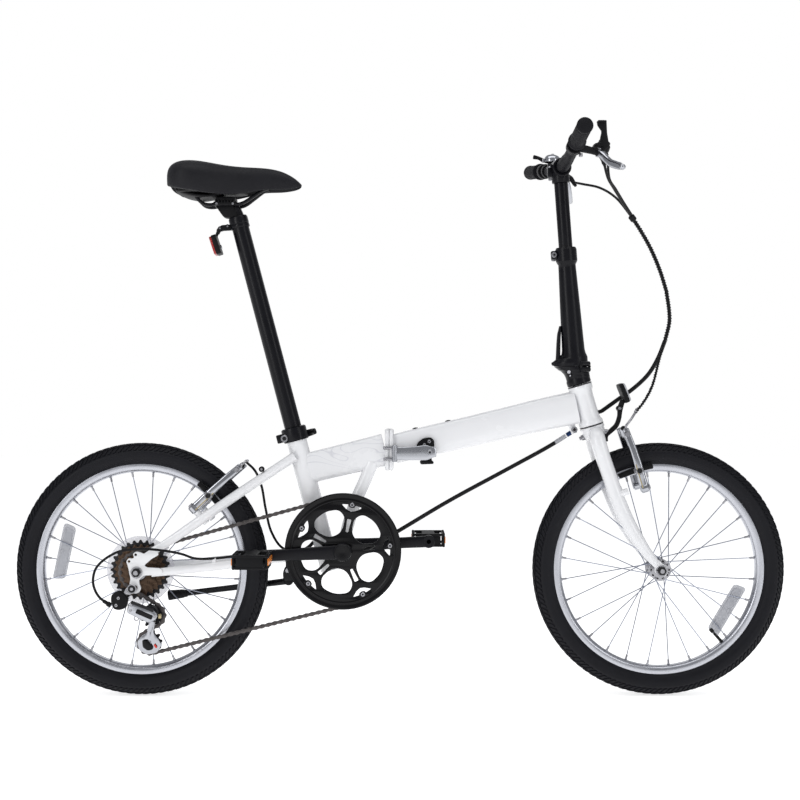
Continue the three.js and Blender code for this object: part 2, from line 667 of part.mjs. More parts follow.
// The chain's line around ring, sprocket and pulleys; offset moves it to its outer or inner side.
function chainOutline(offset) {
  const wheelsInOrder = [
    { centre: BOTTOM_BRACKET, radius: pitchRadius(RING_TEETH), turn: 1 },
    { centre: REAR_HUB, radius: pitchRadius(SPROCKET_TEETH), turn: 1 },
    { centre: GUIDE_PULLEY, radius: pitchRadius(PULLEY_TEETH), turn: -1 },
    { centre: TENSION_PULLEY, radius: pitchRadius(PULLEY_TEETH), turn: 1 },
  ];
  const rims = wheelsInOrder.map((wheel) => ({
    x: wheel.centre.x, z: wheel.centre.z, signed: wheel.turn * (wheel.radius + wheel.turn * offset),
  }));
  const touches = rims.map((from, i) => {
    const to = rims[(i + 1) % rims.length];
    const distance = Math.hypot(to.x - from.x, to.z - from.z);
    const heading = Math.atan2(to.z - from.z, to.x - from.x);
    return heading - Math.acos((from.signed - to.signed) / distance);
  });
  const points = [];
  rims.forEach((wheel, i) => {
    const arrive = touches[(i + rims.length - 1) % rims.length];
    const leave = touches[i];
    const turn = Math.sign(wheel.signed);
    let sweep = (leave - arrive) * turn;
    while (sweep < 0) {
      sweep += 2 * Math.PI;
    }
    while (sweep > 2 * Math.PI) {
      sweep -= 2 * Math.PI;
    }
    const steps = Math.max(3, Math.round(sweep / 0.28));
    for (let step = 0; step <= steps; step += 1) {
      const angle = arrive + (turn * sweep * step) / steps;
      points.push([wheel.x + wheel.signed * Math.cos(angle), wheel.z + wheel.signed * Math.sin(angle)]);
    }
  });
  return points;
}

function chain() {
  const low = CHAIN_LINE - CHAIN_HALF_WIDTH;
  const high = CHAIN_LINE + CHAIN_HALF_WIDTH;
  const outer = plate(chainOutline(CHAIN_HALF_HEIGHT), low, high);
  return cut(outer, plate(chainOutline(-CHAIN_HALF_HEIGHT), low - 1, high + 1));
}

function freewheel() {
  return turned([
    [8, -24], [59, -24], [59, -29], [51, -29], [51, -34], [47, -34], [47, -38.5], [43, -38.5],
    [43, -42.6], [32, -42.6], [32, -49.4], [27, -49.4], [27, -57], [8, -57],
  ], REAR_HUB, 18);
}

function drivetrain() {
  add('chainring', chainring(), blackMetal);
  add('crank_right', crank(RIGHT), blackMetal);
  add('crank_left', crank(LEFT), blackMetal);
  add('pedal_right', pedal(RIGHT), blackPlastic);
  add('pedal_left', pedal(LEFT), blackPlastic);
  add('chain', chain(), chainSteel);
  add('freewheel', freewheel(), chainSteel);
}

// Rear derailleur
function derailleurKnuckle() {
  const bolt = rod(vec(-520, -71.4, 218), vec(-520, -84, 218), 9, 12);
  const body = rod(vec(-546, -84, 197), vec(-546, -71.4, 197), 13, 12);
  const web = rod(vec(-520, -80, 218), vec(-546, -80, 197), 8, 8);
  return join(bolt, body, web);
}

function derailleurLink() {
  const link = rod(vec(-522, -75, 187), vec(-480, -75, 175), 10, 10, 9, 0.9);
  const knuckle = rod(vec(-482, -83, 170), vec(-482, -57, 170), 11, 12);
  const pin = rod(vec(GUIDE_PULLEY.x, -60, GUIDE_PULLEY.z), vec(GUIDE_PULLEY.x, -54, GUIDE_PULLEY.z), 5, 8);
  return join(link, knuckle, pin);
}

function derailleurCage() {
  const pieces = [];
  for (const y of [-53, -41]) {
    const guide = vec(GUIDE_PULLEY.x, y, GUIDE_PULLEY.z);
    const tension = vec(TENSION_PULLEY.x, y, TENSION_PULLEY.z);
    const side = vec(0, 1, 0);
    pieces.push(rod(guide.clone().sub(side), guide.clone().add(side), 10, 12));
    pieces.push(rod(tension.clone().sub(side), tension.clone().add(side), 13, 12));
    const low = vec(TENSION_PULLEY.x - 3, y - 1, TENSION_PULLEY.z);
    const high = vec(GUIDE_PULLEY.x + 3, y + 1, GUIDE_PULLEY.z);
    pieces.push(box(low, high));
  }
  for (const centre of [GUIDE_PULLEY, TENSION_PULLEY]) {
    pieces.push(rod(vec(centre.x, -53, centre.z), vec(centre.x, -41, centre.z), 3, 8));
  }
  return join(...pieces);
}

function pulley(centre) {
  const half = 2.5;
  const r = pitchRadius(PULLEY_TEETH) - CHAIN_HALF_HEIGHT - 0.5;
  return turned([[3.5, -half], [r, -half], [r, half], [3.5, half]], centre, 16);
}

function derailleur() {
  add('derailleur_knuckle', derailleurKnuckle(), blackPlastic);
  add('derailleur_link', derailleurLink(), silver);
  add('derailleur_cage', derailleurCage(), silver);
  add('guide_pulley', pulley(GUIDE_PULLEY), blackPlastic);
  add('tension_pulley', pulley(TENSION_PULLEY), blackPlastic);
}

// A linear-pull brake arm with its shoe; the arm lies along a radius of the wheel.
function brakeArm(centre, radial, pivotReach, topReach, side) {
  const tangent = vec(-radial.z, 0, radial.x).multiplyScalar(Math.sign(radial.x));
  const at = (reach, y, off) => centre.clone().addScaledVector(radial, reach)
    .addScaledVector(tangent, off).add(vec(0, side * y, 0));
  const pivot = rod(at(pivotReach, 48, 9), at(pivotReach, 48, 23), 9, 12);
  const arm = rod(at(pivotReach, 48, 16), at(topReach, 42, 16), 6.5, 8, 5);
  const stud = rod(at(201, 18, 16), at(201, 48, 16), 4, 8);
  const shoe = rod(at(201, 19.5, -20), at(201, 19.5, 46), 5.4, 8);
  return join(pivot, arm, stud, shoe);
}

function brakes() {
  const rearRadial = vec(0.735, 0, 0.678).normalize();
  const frontRadial = vec(-0.3, 0, 0.954).normalize();
  for (const [side, word] of [[RIGHT, 'right'], [LEFT, 'left']]) {
    add(`rear_brake_arm_${word}`, brakeArm(REAR_HUB, rearRadial, 162, 284, side), silver);
    add(`front_brake_arm_${word}`, brakeArm(FRONT_HUB, frontRadial, 165, 285, side), silver);
  }
}

function kickstand() {
  const leg = bentRod([vec(-226, 40, 220), vec(-330, 55, 206), vec(-440, 70, 191)], 6, 8, 6);
  const hub = rod(vec(-224, 30, 222), vec(-228, 50, 222), 10, 12);
  const foot = rod(vec(-436, 69.5, 191.5), vec(-472, 74, 187), 9, 10);
  return join(leg, hub, foot);
}

// Cables that the bicycle holds along their whole route
function cables() {
  const rightLoop = bentRod([
    barPoint(RIGHT, 140, 58, -22), vec(412, -70, 1004), vec(440, -22, 978), vec(470, 14, 944),
    vec(503, 20, 883), vec(532, 18, 803), vec(538, 16, 763), vec(530, 20, 704),
    vec(497, 26, 636), vec(440, 30, 590),
    vec(404, 31, 562),
  ], 4.5, 8, 26);
  const leftLoop = bentRod([
    barPoint(LEFT, 140, 58, -22), vec(398, 96, 1016), vec(440, 56, 990), vec(471, 15, 943),
  ], 2.6, 8, 10);
  const frontBranch = bentRod([
    vec(532, 18, 716), vec(516, 2, 668), vec(498, -16, 612), vec(480, -30, 582), vec(462, -34, 560),
  ], 2.6, 8, 12);
  add('control_cables', join(rightLoop, leftLoop, frontBranch), blackPlastic);
  add('frame_cables', bentRod([
    vec(398, 31, 558), vec(360, 30, 548), vec(300, 25, 540), vec(120, 24, 500), vec(30, 30, 480),
    vec(-22, 50, 470), vec(-80, 30, 455), vec(-150, 26, 440), vec(-170, 26, 400), vec(-158, 26, 340),
    vec(-142, 27, 300),
  ], 4, 8, 30), blackPlastic);
  add('rear_brake_cable', bentRod([
    vec(-196, 0, 285), vec(-233, 0, 292), vec(-256, 0, 322), vec(-268, 0, 370), vec(-276, 0, 414),
    vec(-288, -6, 444), vec(-305, -20, 463),
  ], 2.6, 8, 14), blackPlastic);
  add('shift_cable', bentRod([
    vec(-200, -33, 291), vec(-252, -36, 288), vec(-364, -52, 275), vec(-400, -66, 278), vec(-440, -79, 290),
    vec(-502, -84, 298), vec(-560, -84, 276), vec(-592, -82, 237), vec(-584, -80, 206), vec(-562, -79, 194),
  ], 2.6, 8, 24), blackPlastic);
}

// Seatpost with its clamp head, and the saddle with its rails
function seatpost() {
  const tube = rod(seatPoint(SEATPOST_BOTTOM_Z), seatPoint(SEATPOST_TOP_Z), SEATPOST_RADIUS, 20);
  const collar = rod(seatPoint(926), seatPoint(948), 19, 20);
  const neck = rod(seatPoint(945), vec(-340, 0, 965), 12, 12);
  const head = box(vec(-364, -24, 956), vec(-322, 24, 973.6));
  return join(tube, collar, neck, head);
}

function saddle() {
  const outline = new THREE.Shape();
  outline.moveTo(-196, -4);
  outline.bezierCurveTo(-200, -26, -260, -24, -300, -32);
  outline.bezierCurveTo(-350, -46, -366, -82, -420, -82);
  outline.bezierCurveTo(-452, -82, -461, -50, -458, 0);
  outline.bezierCurveTo(-461, 50, -452, 82, -420, 82);
  outline.bezierCurveTo(-366, 82, -350, 46, -300, 32);
  outline.bezierCurveTo(-260, 24, -200, 26, -196, 4);
  outline.closePath();
  const pad = new THREE.ExtrudeGeometry(outline, { depth: 70, bevelEnabled: false, curveSegments: 5 });
  pad.translate(0, 0, 992);
  const top = plate([
    [-470, 1000], [-430, 996], [-330, 988], [-260, 996], [-190, 1006], [-190, 1022], [-205, 1036],
    [-240, 1045], [-300, 1049], [-350, 1050], [-400, 1058], [-425, 1062], [-450, 1054], [-470, 1040],
  ], -100, 100);
  const cushion = toGeometry(toSolid(pad).intersect(toSolid(top)));
  const rail = (side) => bentRod([
    vec(-404, side * 22, 1002), vec(-392, side * 22, 978), vec(-372, side * 22, 980.2),
    vec(-312, side * 22, 981), vec(-272, side * 16, 1004),
  ], 3.5, 6, 10);
  return join(cushion, rail(LEFT), rail(RIGHT));
}

wheels();
rearFrame();
frontFrame();
steering();
handlebarSet();
drivetrain();
derailleur();
brakes();
add('kickstand_leg', kickstand(), blackMetal);
cables();
add('seatpost', seatpost(), blackMetal);
add('saddle', saddle(), leather);

export default group;
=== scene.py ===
"""Looks for a folding bicycle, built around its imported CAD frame.

Sizes in this file are millimetres and become metres in the mesh helpers. Places are worked out
from the joints of the frame: the wheel hubs, the bottom bracket, the hinges and the steering axis.
"""
import json
import math

import bmesh
import bpy
from mathutils import Matrix, Vector


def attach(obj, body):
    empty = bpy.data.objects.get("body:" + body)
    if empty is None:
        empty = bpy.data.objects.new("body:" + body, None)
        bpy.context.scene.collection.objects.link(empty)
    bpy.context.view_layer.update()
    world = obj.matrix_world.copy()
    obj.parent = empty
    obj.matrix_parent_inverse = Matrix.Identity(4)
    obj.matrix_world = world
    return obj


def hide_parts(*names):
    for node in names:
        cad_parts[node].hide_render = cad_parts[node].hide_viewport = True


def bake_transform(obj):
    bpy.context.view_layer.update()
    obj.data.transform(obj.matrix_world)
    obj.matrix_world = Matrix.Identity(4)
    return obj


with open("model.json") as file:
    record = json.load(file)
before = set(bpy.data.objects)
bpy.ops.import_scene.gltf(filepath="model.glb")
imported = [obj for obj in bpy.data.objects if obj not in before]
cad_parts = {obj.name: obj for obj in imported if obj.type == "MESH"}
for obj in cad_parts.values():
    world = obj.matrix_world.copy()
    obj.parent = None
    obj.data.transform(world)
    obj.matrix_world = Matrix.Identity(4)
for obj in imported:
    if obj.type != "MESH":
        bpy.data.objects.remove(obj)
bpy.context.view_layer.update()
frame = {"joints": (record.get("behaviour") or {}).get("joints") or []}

MM = 0.001
RIGHT, LEFT = -1, 1
SIDES = ((RIGHT, "right"), (LEFT, "left"))
JOINTS = {joint["name"]: joint for joint in frame["joints"]}
X = Vector((1, 0, 0))
Y = Vector((0, 1, 0))
Z = Vector((0, 0, 1))


def joint_at(name):
    return Vector(JOINTS[name]["pos_m"]) / MM


def joint_axis(name):
    return Vector(JOINTS[name]["axis"]).normalized()


# Anchors, in millimetres
REAR_HUB = joint_at("rear_wheel_spin")
FRONT_HUB = joint_at("front_wheel_spin")
BOTTOM_BRACKET = joint_at("crank_spin")
HINGE = joint_at("main_fold")
STEER_UP = joint_axis("steering")
HEAD_BOTTOM = joint_at("steering")
POST_DOWN = joint_axis("handlepost_height")
SEAT_DOWN = joint_axis("seatpost_height")
GUIDE_PULLEY = joint_at("guide_pulley_spin")
TENSION_PULLEY = joint_at("tension_pulley_spin")
WHEEL_RADIUS = REAR_HUB.z
CHAIN_LINE = GUIDE_PULLEY.y


def vec(x, y, z):
    return Vector((x, y, z))


# ---------------------------------------------------------------- materials

def new_material(name):
    material = bpy.data.materials.new(name)
    material.use_nodes = True
    nodes = material.node_tree.nodes
    return material, nodes, material.node_tree.links, nodes["Principled BSDF"]


def noise(nodes, links, scale, detail, stretch=None, distortion=0.0):
    texture = nodes.new("ShaderNodeTexNoise")
    texture.inputs["Scale"].default_value = scale
    texture.inputs["Detail"].default_value = detail
    texture.inputs["Distortion"].default_value = distortion
    place = nodes.new("ShaderNodeTexCoord")
    source = place.outputs["Object"]
    if stretch:
        mapping = nodes.new("ShaderNodeMapping")
        mapping.inputs["Scale"].default_value = stretch
        links.new(source, mapping.inputs["Vector"])
        source = mapping.outputs["Vector"]
    links.new(source, texture.inputs["Vector"])
    return texture


def remap(nodes, links, source, low, high):
    node = nodes.new("ShaderNodeMapRange")
    node.inputs["From Min"].default_value = 0.3
    node.inputs["From Max"].default_value = 0.7
    node.inputs["To Min"].default_value = low
    node.inputs["To Max"].default_value = high
    links.new(source, node.inputs["Value"])
    return node.outputs["Result"]


def blend_colours(nodes, links, factor, first, second):
    mix = nodes.new("ShaderNodeMix")
    mix.data_type = "RGBA"
    mix.inputs["A"].default_value = (*first, 1)
    mix.inputs["B"].default_value = (*second, 1)
    links.new(factor, mix.inputs["Factor"])
    return mix.outputs["Result"]


def add_bump(nodes, links, shader, height, strength, distance):
    bump = nodes.new("ShaderNodeBump")
    bump.inputs["Strength"].default_value = strength
    bump.inputs["Distance"].default_value = distance
    links.new(height, bump.inputs["Height"])
    links.new(bump.outputs["Normal"], shader.inputs["Normal"])


def surface(name, dark, light, rough, metallic=0.0, grain=400, bump=0.1, depth=0.0001, patch=25, coat=0.0,
            specular=0.5):
    """A finish whose colour and roughness drift with a slow noise, under a fine grain."""
    material, nodes, links, shader = new_material(name)
    slow = noise(nodes, links, patch, 4.0)
    fine = noise(nodes, links, grain, 2.0)
    links.new(blend_colours(nodes, links, slow.outputs["Fac"], dark, light), shader.inputs["Base Color"])
    links.new(remap(nodes, links, slow.outputs["Fac"], rough[0], rough[1]), shader.inputs["Roughness"])
    shader.inputs["Metallic"].default_value = metallic
    shader.inputs["Coat Weight"].default_value = coat
    shader.inputs["Coat Roughness"].default_value = 0.05
    shader.inputs["Specular IOR Level"].default_value = specular
    add_bump(nodes, links, shader, fine.outputs["Fac"], bump, depth)
    return material


def cell_bump(name, dark, light, rough, cells, strength, depth, **more):
    """A finish with a cell pattern pressed into it, such as leather grain or prisms."""
    material = surface(name, dark, light, rough, bump=0.0, **more)
    tree = material.node_tree
    texture = tree.nodes.new("ShaderNodeTexVoronoi")
    texture.feature = "DISTANCE_TO_EDGE"
    texture.inputs["Scale"].default_value = cells
    place = tree.nodes.new("ShaderNodeTexCoord")
    tree.links.new(place.outputs["Object"], texture.inputs["Vector"])
    ramp = tree.nodes.new("ShaderNodeMapRange")
    ramp.inputs["From Max"].default_value = 0.12
    tree.links.new(texture.outputs["Distance"], ramp.inputs["Value"])
    shader = tree.nodes["Principled BSDF"]
    add_bump(tree.nodes, tree.links, shader, ramp.outputs["Result"], strength, depth)
    return material


def contour_paint():
    """White paint with the soft grey contour lines that decorate part of the frame."""
    material = surface("contour_paint", (0.76, 0.765, 0.785), (0.8, 0.805, 0.82), (0.22, 0.3), grain=900,
                       bump=0.03, coat=0.6)
    tree = material.node_tree
    field = noise(tree.nodes, tree.links, 9.0, 1.0, (1.0, 0.3, 1.4), 0.9)
    steps = tree.nodes.new("ShaderNodeMath")
    steps.operation = "MULTIPLY"
    steps.inputs[1].default_value = 11.0
    tree.links.new(field.outputs["Fac"], steps.inputs[0])
    wave = tree.nodes.new("ShaderNodeMath")
    wave.operation = "PINGPONG"
    wave.inputs[1].default_value = 0.5
    tree.links.new(steps.outputs[0], wave.inputs[0])
    line = tree.nodes.new("ShaderNodeMapRange")
    line.inputs["From Min"].default_value = 0.02
    line.inputs["From Max"].default_value = 0.07
    line.inputs["To Min"].default_value = 1.0
    line.inputs["To Max"].default_value = 0.0
    tree.links.new(wave.outputs[0], line.inputs["Value"])
    shader = tree.nodes["Principled BSDF"]
    paint = shader.inputs["Base Color"].links[0].from_socket
    mix = tree.nodes.new("ShaderNodeMix")
    mix.data_type = "RGBA"
    mix.inputs["B"].default_value = (0.66, 0.665, 0.7, 1)
    tree.links.new(line.outputs["Result"], mix.inputs["Factor"])
    tree.links.new(paint, mix.inputs["A"])
    tree.links.new(mix.outputs["Result"], shader.inputs["Base Color"])
    return material


def clear_plastic(name, colour, alpha):
    """A reflector's plastic, with small prisms moulded into it."""
    material = cell_bump(name, colour, colour, (0.08, 0.16), 420, 0.5, 0.0006, specular=0.6)
    shader = material.node_tree.nodes["Principled BSDF"]
    shader.inputs["Alpha"].default_value = alpha
    return material


PAINT = surface("white_paint", (0.76, 0.765, 0.785), (0.8, 0.805, 0.82), (0.2, 0.28), grain=900, bump=0.03,
                coat=0.8)
CONTOUR = contour_paint()
SATIN_BLACK = surface("satin_black_alloy", (0.0022, 0.0022, 0.0036), (0.0045, 0.0045, 0.007), (0.24, 0.34),
                      grain=1500, bump=0.06, specular=0.2)
BAR_BLACK = surface("bar_black_paint", (0.0022, 0.0022, 0.0036), (0.0045, 0.0045, 0.007), (0.5, 0.62),
                    grain=1500, bump=0.05, specular=0.1)
GLOSS_BLACK = surface("gloss_black_plastic", (0.002, 0.002, 0.0025), (0.004, 0.004, 0.005), (0.16, 0.26),
                      grain=300, bump=0.02, specular=0.2)
BLACK_PLASTIC = surface("moulded_black_plastic", (0.004, 0.004, 0.005), (0.008, 0.008, 0.009), (0.42, 0.56),
                        grain=1800, bump=0.2, specular=0.14)
CABLE_BLACK = surface("cable_housing", (0.004, 0.004, 0.005), (0.008, 0.008, 0.009), (0.36, 0.48),
                      grain=1200, bump=0.1, specular=0.16)
TYRE = surface("tyre_rubber", (0.0045, 0.0046, 0.0064), (0.009, 0.0092, 0.0125), (0.42, 0.58), grain=700,
               bump=0.3, depth=0.0002, patch=60, specular=0.16)
GRIP = surface("grip_rubber", (0.005, 0.005, 0.0065), (0.009, 0.009, 0.0115), (0.55, 0.7), grain=900,
               bump=0.4, depth=0.0002, patch=80, specular=0.14)
POLISHED = surface("polished_alloy", (0.36, 0.37, 0.40), (0.5, 0.51, 0.54), (0.08, 0.18), metallic=1.0,
                   grain=600, bump=0.015)
RIM_ALLOY = surface("rim_alloy", (0.42, 0.43, 0.47), (0.56, 0.57, 0.61), (0.2, 0.32), metallic=1.0,
                    grain=900, bump=0.02)
STEEL = surface("plated_steel", (0.26, 0.26, 0.28), (0.42, 0.42, 0.44), (0.2, 0.34), metallic=1.0, grain=800,
                bump=0.12)
SPOKE_STEEL = surface("spoke_steel", (0.24, 0.26, 0.32), (0.34, 0.36, 0.42), (0.2, 0.3), metallic=1.0,
                      grain=800, bump=0.05)
CHAIN_STEEL = surface("chain_steel", (0.05, 0.045, 0.045), (0.13, 0.12, 0.118), (0.32, 0.5), metallic=0.9,
                      grain=900, bump=0.2, patch=180)
BRONZE_STEEL = surface("bronzed_steel", (0.03, 0.019, 0.012), (0.12, 0.075, 0.05), (0.3, 0.5), metallic=0.85,
                       grain=700, bump=0.2, patch=140)
DARK_STEEL = surface("black_oxide_steel", (0.012, 0.012, 0.013), (0.03, 0.03, 0.032), (0.3, 0.45),
                     metallic=0.8, grain=700, bump=0.1)
GOLD_SPRING = surface("spring_steel", (0.36, 0.3, 0.17), (0.5, 0.43, 0.27), (0.25, 0.4), metallic=1.0,
                      depth=0.0002)
LEATHER = cell_bump("saddle_cover", (0.0045, 0.0045, 0.0064), (0.009, 0.009, 0.012), (0.4, 0.5), 700, 0.35,
                    0.0003, patch=30, specular=0.2)
CLEAR = surface("clear_plastic", (0.6, 0.6, 0.66), (0.66, 0.66, 0.72), (0.1, 0.2), bump=0.02, depth=0.0002)
CLEAR.node_tree.nodes["Principled BSDF"].inputs["Alpha"].default_value = 0.4
CLEAR_PRISM = clear_plastic("clear_reflector", (0.5, 0.51, 0.55), 0.7)
RED_PRISM = clear_plastic("red_reflector", (0.35, 0.012, 0.01), 1.0)
AMBER_PRISM = clear_plastic("amber_reflector", (0.85, 0.25, 0.02), 1.0)
RED_ACCENT = surface("red_accent", (0.6, 0.03, 0.02), (0.68, 0.05, 0.03), (0.35, 0.45), depth=0.0002)
BLUE_METAL = surface("blue_ferrule", (0.012, 0.03, 0.09), (0.02, 0.045, 0.13), (0.25, 0.35), metallic=0.9,
                     depth=0.0002)

# The record's slot that each finish belongs to
SLOT_FINISHES = {"frame_paint": (PAINT, CONTOUR), "black_alloy": (SATIN_BLACK, BAR_BLACK),
                 "black_plastic": (GLOSS_BLACK, BLACK_PLASTIC), "polished_alloy": (POLISHED, RIM_ALLOY),
                 "steel": (STEEL, SPOKE_STEEL, DARK_STEEL), "chain_steel": (CHAIN_STEEL, BRONZE_STEEL),
                 "tyre_rubber": (TYRE,), "grip_rubber": (GRIP,), "cable_housing": (CABLE_BLACK,),
                 "saddle_cover": (LEATHER,)}
SLOT_OF = {finish.name: slot for slot, finishes in SLOT_FINISHES.items() for finish in finishes}


# ---------------------------------------------------------------- mesh helpers

def place(origin, axis, reference=None):
    """A matrix whose local Z lies along axis and whose local X leans to reference."""
    z = Vector(axis).normalized()
    guide = Vector(reference) if reference is not None else (X if abs(z.x) < 0.9 else Z)
    y = z.cross(guide).normalized()
    x = y.cross(z)
    matrix = Matrix((x, y, z)).transposed().to_4x4()
    matrix.translation = Vector(origin)
    return matrix


def moved(geometry, matrix):
    verts, faces = geometry
    if matrix.determinant() < 0:
        faces = [tuple(reversed(face)) for face in faces]
    return [matrix @ v for v in verts], faces


def lathe(profile, origin=(0, 0, 0), axis=Y, segments=48, reference=None):
    """Turns [radius, height] points about an axis. A profile off the axis closes on itself."""
    points = [tuple(p) for p in profile]
    closed = points[0][0] > 1e-6
    area = sum(a[0] * b[1] - b[0] * a[1] for a, b in zip(points, points[1:] + points[:1]))
    if area < 0:
        points.reverse()
    matrix = place(origin, axis, reference)
    verts, rows = [], []
    for radius, height in points:
        if radius < 1e-6:
            rows.append([len(verts)] * segments)
            verts.append(matrix @ Vector((0, 0, height)))
            continue
        rows.append(list(range(len(verts), len(verts) + segments)))
        for i in range(segments):
            angle = 2 * math.pi * i / segments
            verts.append(matrix @ Vector((radius * math.cos(angle), radius * math.sin(angle), height)))
    faces = []
    pairs = list(zip(rows, rows[1:] + rows[:1])) if closed else list(zip(rows, rows[1:]))
    for low, high in pairs:
        for i in range(segments):
            j = (i + 1) % segments
            face = []
            for index in (low[i], low[j], high[j], high[i]):
                if index not in face:
                    face.append(index)
            if len(face) > 2:
                faces.append(tuple(face))
    return verts, faces


def disc(start, end, radius, chamfer=0.6, segments=32, bore=0.0):
    """A round bar or washer between two points with chamfered edges."""
    start, end = Vector(start), Vector(end)
    length = (end - start).length
    c = min(chamfer, length * 0.4, radius * 0.4)
    if bore > 0:
        profile = [(bore, c * 0.5), (bore + c * 0.5, 0), (radius - c, 0), (radius, c), (radius, length - c),
                   (radius - c, length), (bore + c * 0.5, length), (bore, length - c * 0.5)]
    else:
        profile = [(0, 0), (radius - c, 0), (radius, c), (radius, length - c), (radius - c, length),
                   (0, length)]
    return lathe(profile, start, end - start, segments)


def crossbar(x, z, start, end, *more, **named):
    """A round bar across the bicycle, from one y to another."""
    return disc((x, start, z), (x, end, z), *more, **named)


def hex_bar(start, end, radius):
    return disc(start, end, radius, radius * 0.12, 6)


def dome(origin, axis, radius, height):
    """A domed cap standing on a point."""
    profile = [(0, 0), (radius, 0)]
    for i in range(1, 7):
        angle = math.pi / 2 * i / 6
        profile.append((radius * math.cos(angle), height * math.sin(angle)))
    profile[-1] = (0, height)
    return lathe(profile, origin, axis, 24)


def reaches(path):
    """How far along a path each of its points lies."""
    reach = [0.0]
    for a, b in zip(path, path[1:]):
        reach.append(reach[-1] + (b - a).length)
    return reach


def walk(path, targets):
    """The point at each rising distance along a path, with the number of its stretch."""
    reach = reaches(path)
    k = 0
    for target in targets:
        while k + 2 < len(reach) and reach[k + 1] < target:
            k += 1
        share = (target - reach[k]) / max(reach[k + 1] - reach[k], 1e-9)
        yield path[k].lerp(path[k + 1], min(max(share, 0.0), 1.0)), k


def smooth_path(points, count):
    """Evenly spread points on a centripetal Catmull-Rom curve through the given ones."""
    points = [Vector(p) for p in points]
    guides = [2 * points[0] - points[1]] + points + [2 * points[-1] - points[-2]]
    dense = []
    for p0, p1, p2, p3 in zip(guides, guides[1:], guides[2:], guides[3:]):
        t0 = 0.0
        t1 = t0 + max((p1 - p0).length, 1e-6) ** 0.5
        t2 = t1 + max((p2 - p1).length, 1e-6) ** 0.5
        t3 = t2 + max((p3 - p2).length, 1e-6) ** 0.5
        for i in range(24):
            t = t1 + (t2 - t1) * i / 24
            a1 = p0 * ((t1 - t) / (t1 - t0)) + p1 * ((t - t0) / (t1 - t0))
            a2 = p1 * ((t2 - t) / (t2 - t1)) + p2 * ((t - t1) / (t2 - t1))
            a3 = p2 * ((t3 - t) / (t3 - t2)) + p3 * ((t - t2) / (t3 - t2))
            b1 = a1 * ((t2 - t) / (t2 - t0)) + a2 * ((t - t0) / (t2 - t0))
            b2 = a2 * ((t3 - t) / (t3 - t1)) + a3 * ((t - t1) / (t3 - t1))
            dense.append(b1 * ((t2 - t) / (t2 - t1)) + b2 * ((t - t1) / (t2 - t1)))
    dense.append(points[-1])
    length = reaches(dense)[-1]
    return [point for point, _ in walk(dense, [length * i / (count - 1) for i in range(count)])]


def spread(values, count):
    """Values at even steps between the given ones."""
    if not isinstance(values, (list, tuple)):
        return [values] * count
    result = []
    for i in range(count):
        t = (len(values) - 1) * i / (count - 1)
        k = min(int(t), len(values) - 2)
        f = t - k
        f = f * f * (3 - 2 * f)
        result.append(values[k] * (1 - f) + values[k + 1] * f)
    return result


def skin(low, high):
    """The faces between two closed rows of as many points."""
    total = len(low)
    return [(low[k], low[(k + 1) % total], high[(k + 1) % total], high[k]) for k in range(total)]


def sweep(points, width, height=None, steps=32, sides=20, power=2.0, side=None, round_ends=0.0,
          straight=False, level=None):
    """A bar along a curve. Its section is a superellipse of half-sizes width (sideways) and height.

    power 2 is an ellipse and larger powers are boxier. side fixes the sideways direction, and
    level turns every section square to one direction.
    """
    path = [Vector(p) for p in points] if straight else smooth_path(points, steps)
    count = len(path)
    widths = spread(width, count)
    heights = spread(height if height is not None else width, count)
    tangents = [(path[min(i + 1, count - 1)] - path[max(i - 1, 0)]).normalized() for i in range(count)]
    if level is not None:
        tangents = [Vector(level)] * count
    normal = Vector(side) if side is not None else (Y if abs(tangents[0].y) < 0.9 else X)
    verts, faces = [], []
    for i, (centre, tangent) in enumerate(zip(path, tangents)):
        if side is not None:
            normal = Vector(side)
        normal = (normal - tangent * normal.dot(tangent)).normalized()
        other = tangent.cross(normal)
        for k in range(sides):
            angle = 2 * math.pi * k / sides
            c, s = math.cos(angle), math.sin(angle)
            u = math.copysign(abs(c) ** (2 / power), c) * widths[i]
            w = math.copysign(abs(s) ** (2 / power), s) * heights[i]
            verts.append(centre + normal * u + other * w)
    for i in range(count - 1):
        faces += skin(range(i * sides, (i + 1) * sides), range((i + 1) * sides, (i + 2) * sides))
    for row, flip in ((0, True), (count - 1, False)):
        ring = list(range(row * sides, (row + 1) * sides))
        if round_ends:
            outward = tangents[row] * (-1 if flip else 1)
            previous = ring
            base = path[row]
            for step in (1, 2, 3):
                angle = math.pi / 2 * step / 4
                start = len(verts)
                for index in ring:
                    offset = (verts[index] - base) * math.cos(angle)
                    verts.append(base + offset + outward * round_ends * math.sin(angle))
                now = list(range(start, start + sides))
                faces += [tuple(reversed(quad)) if flip else quad for quad in skin(previous, now)]
                previous = now
            ring = previous
        faces.append(tuple(reversed(ring)) if flip else tuple(ring))
    return verts, faces


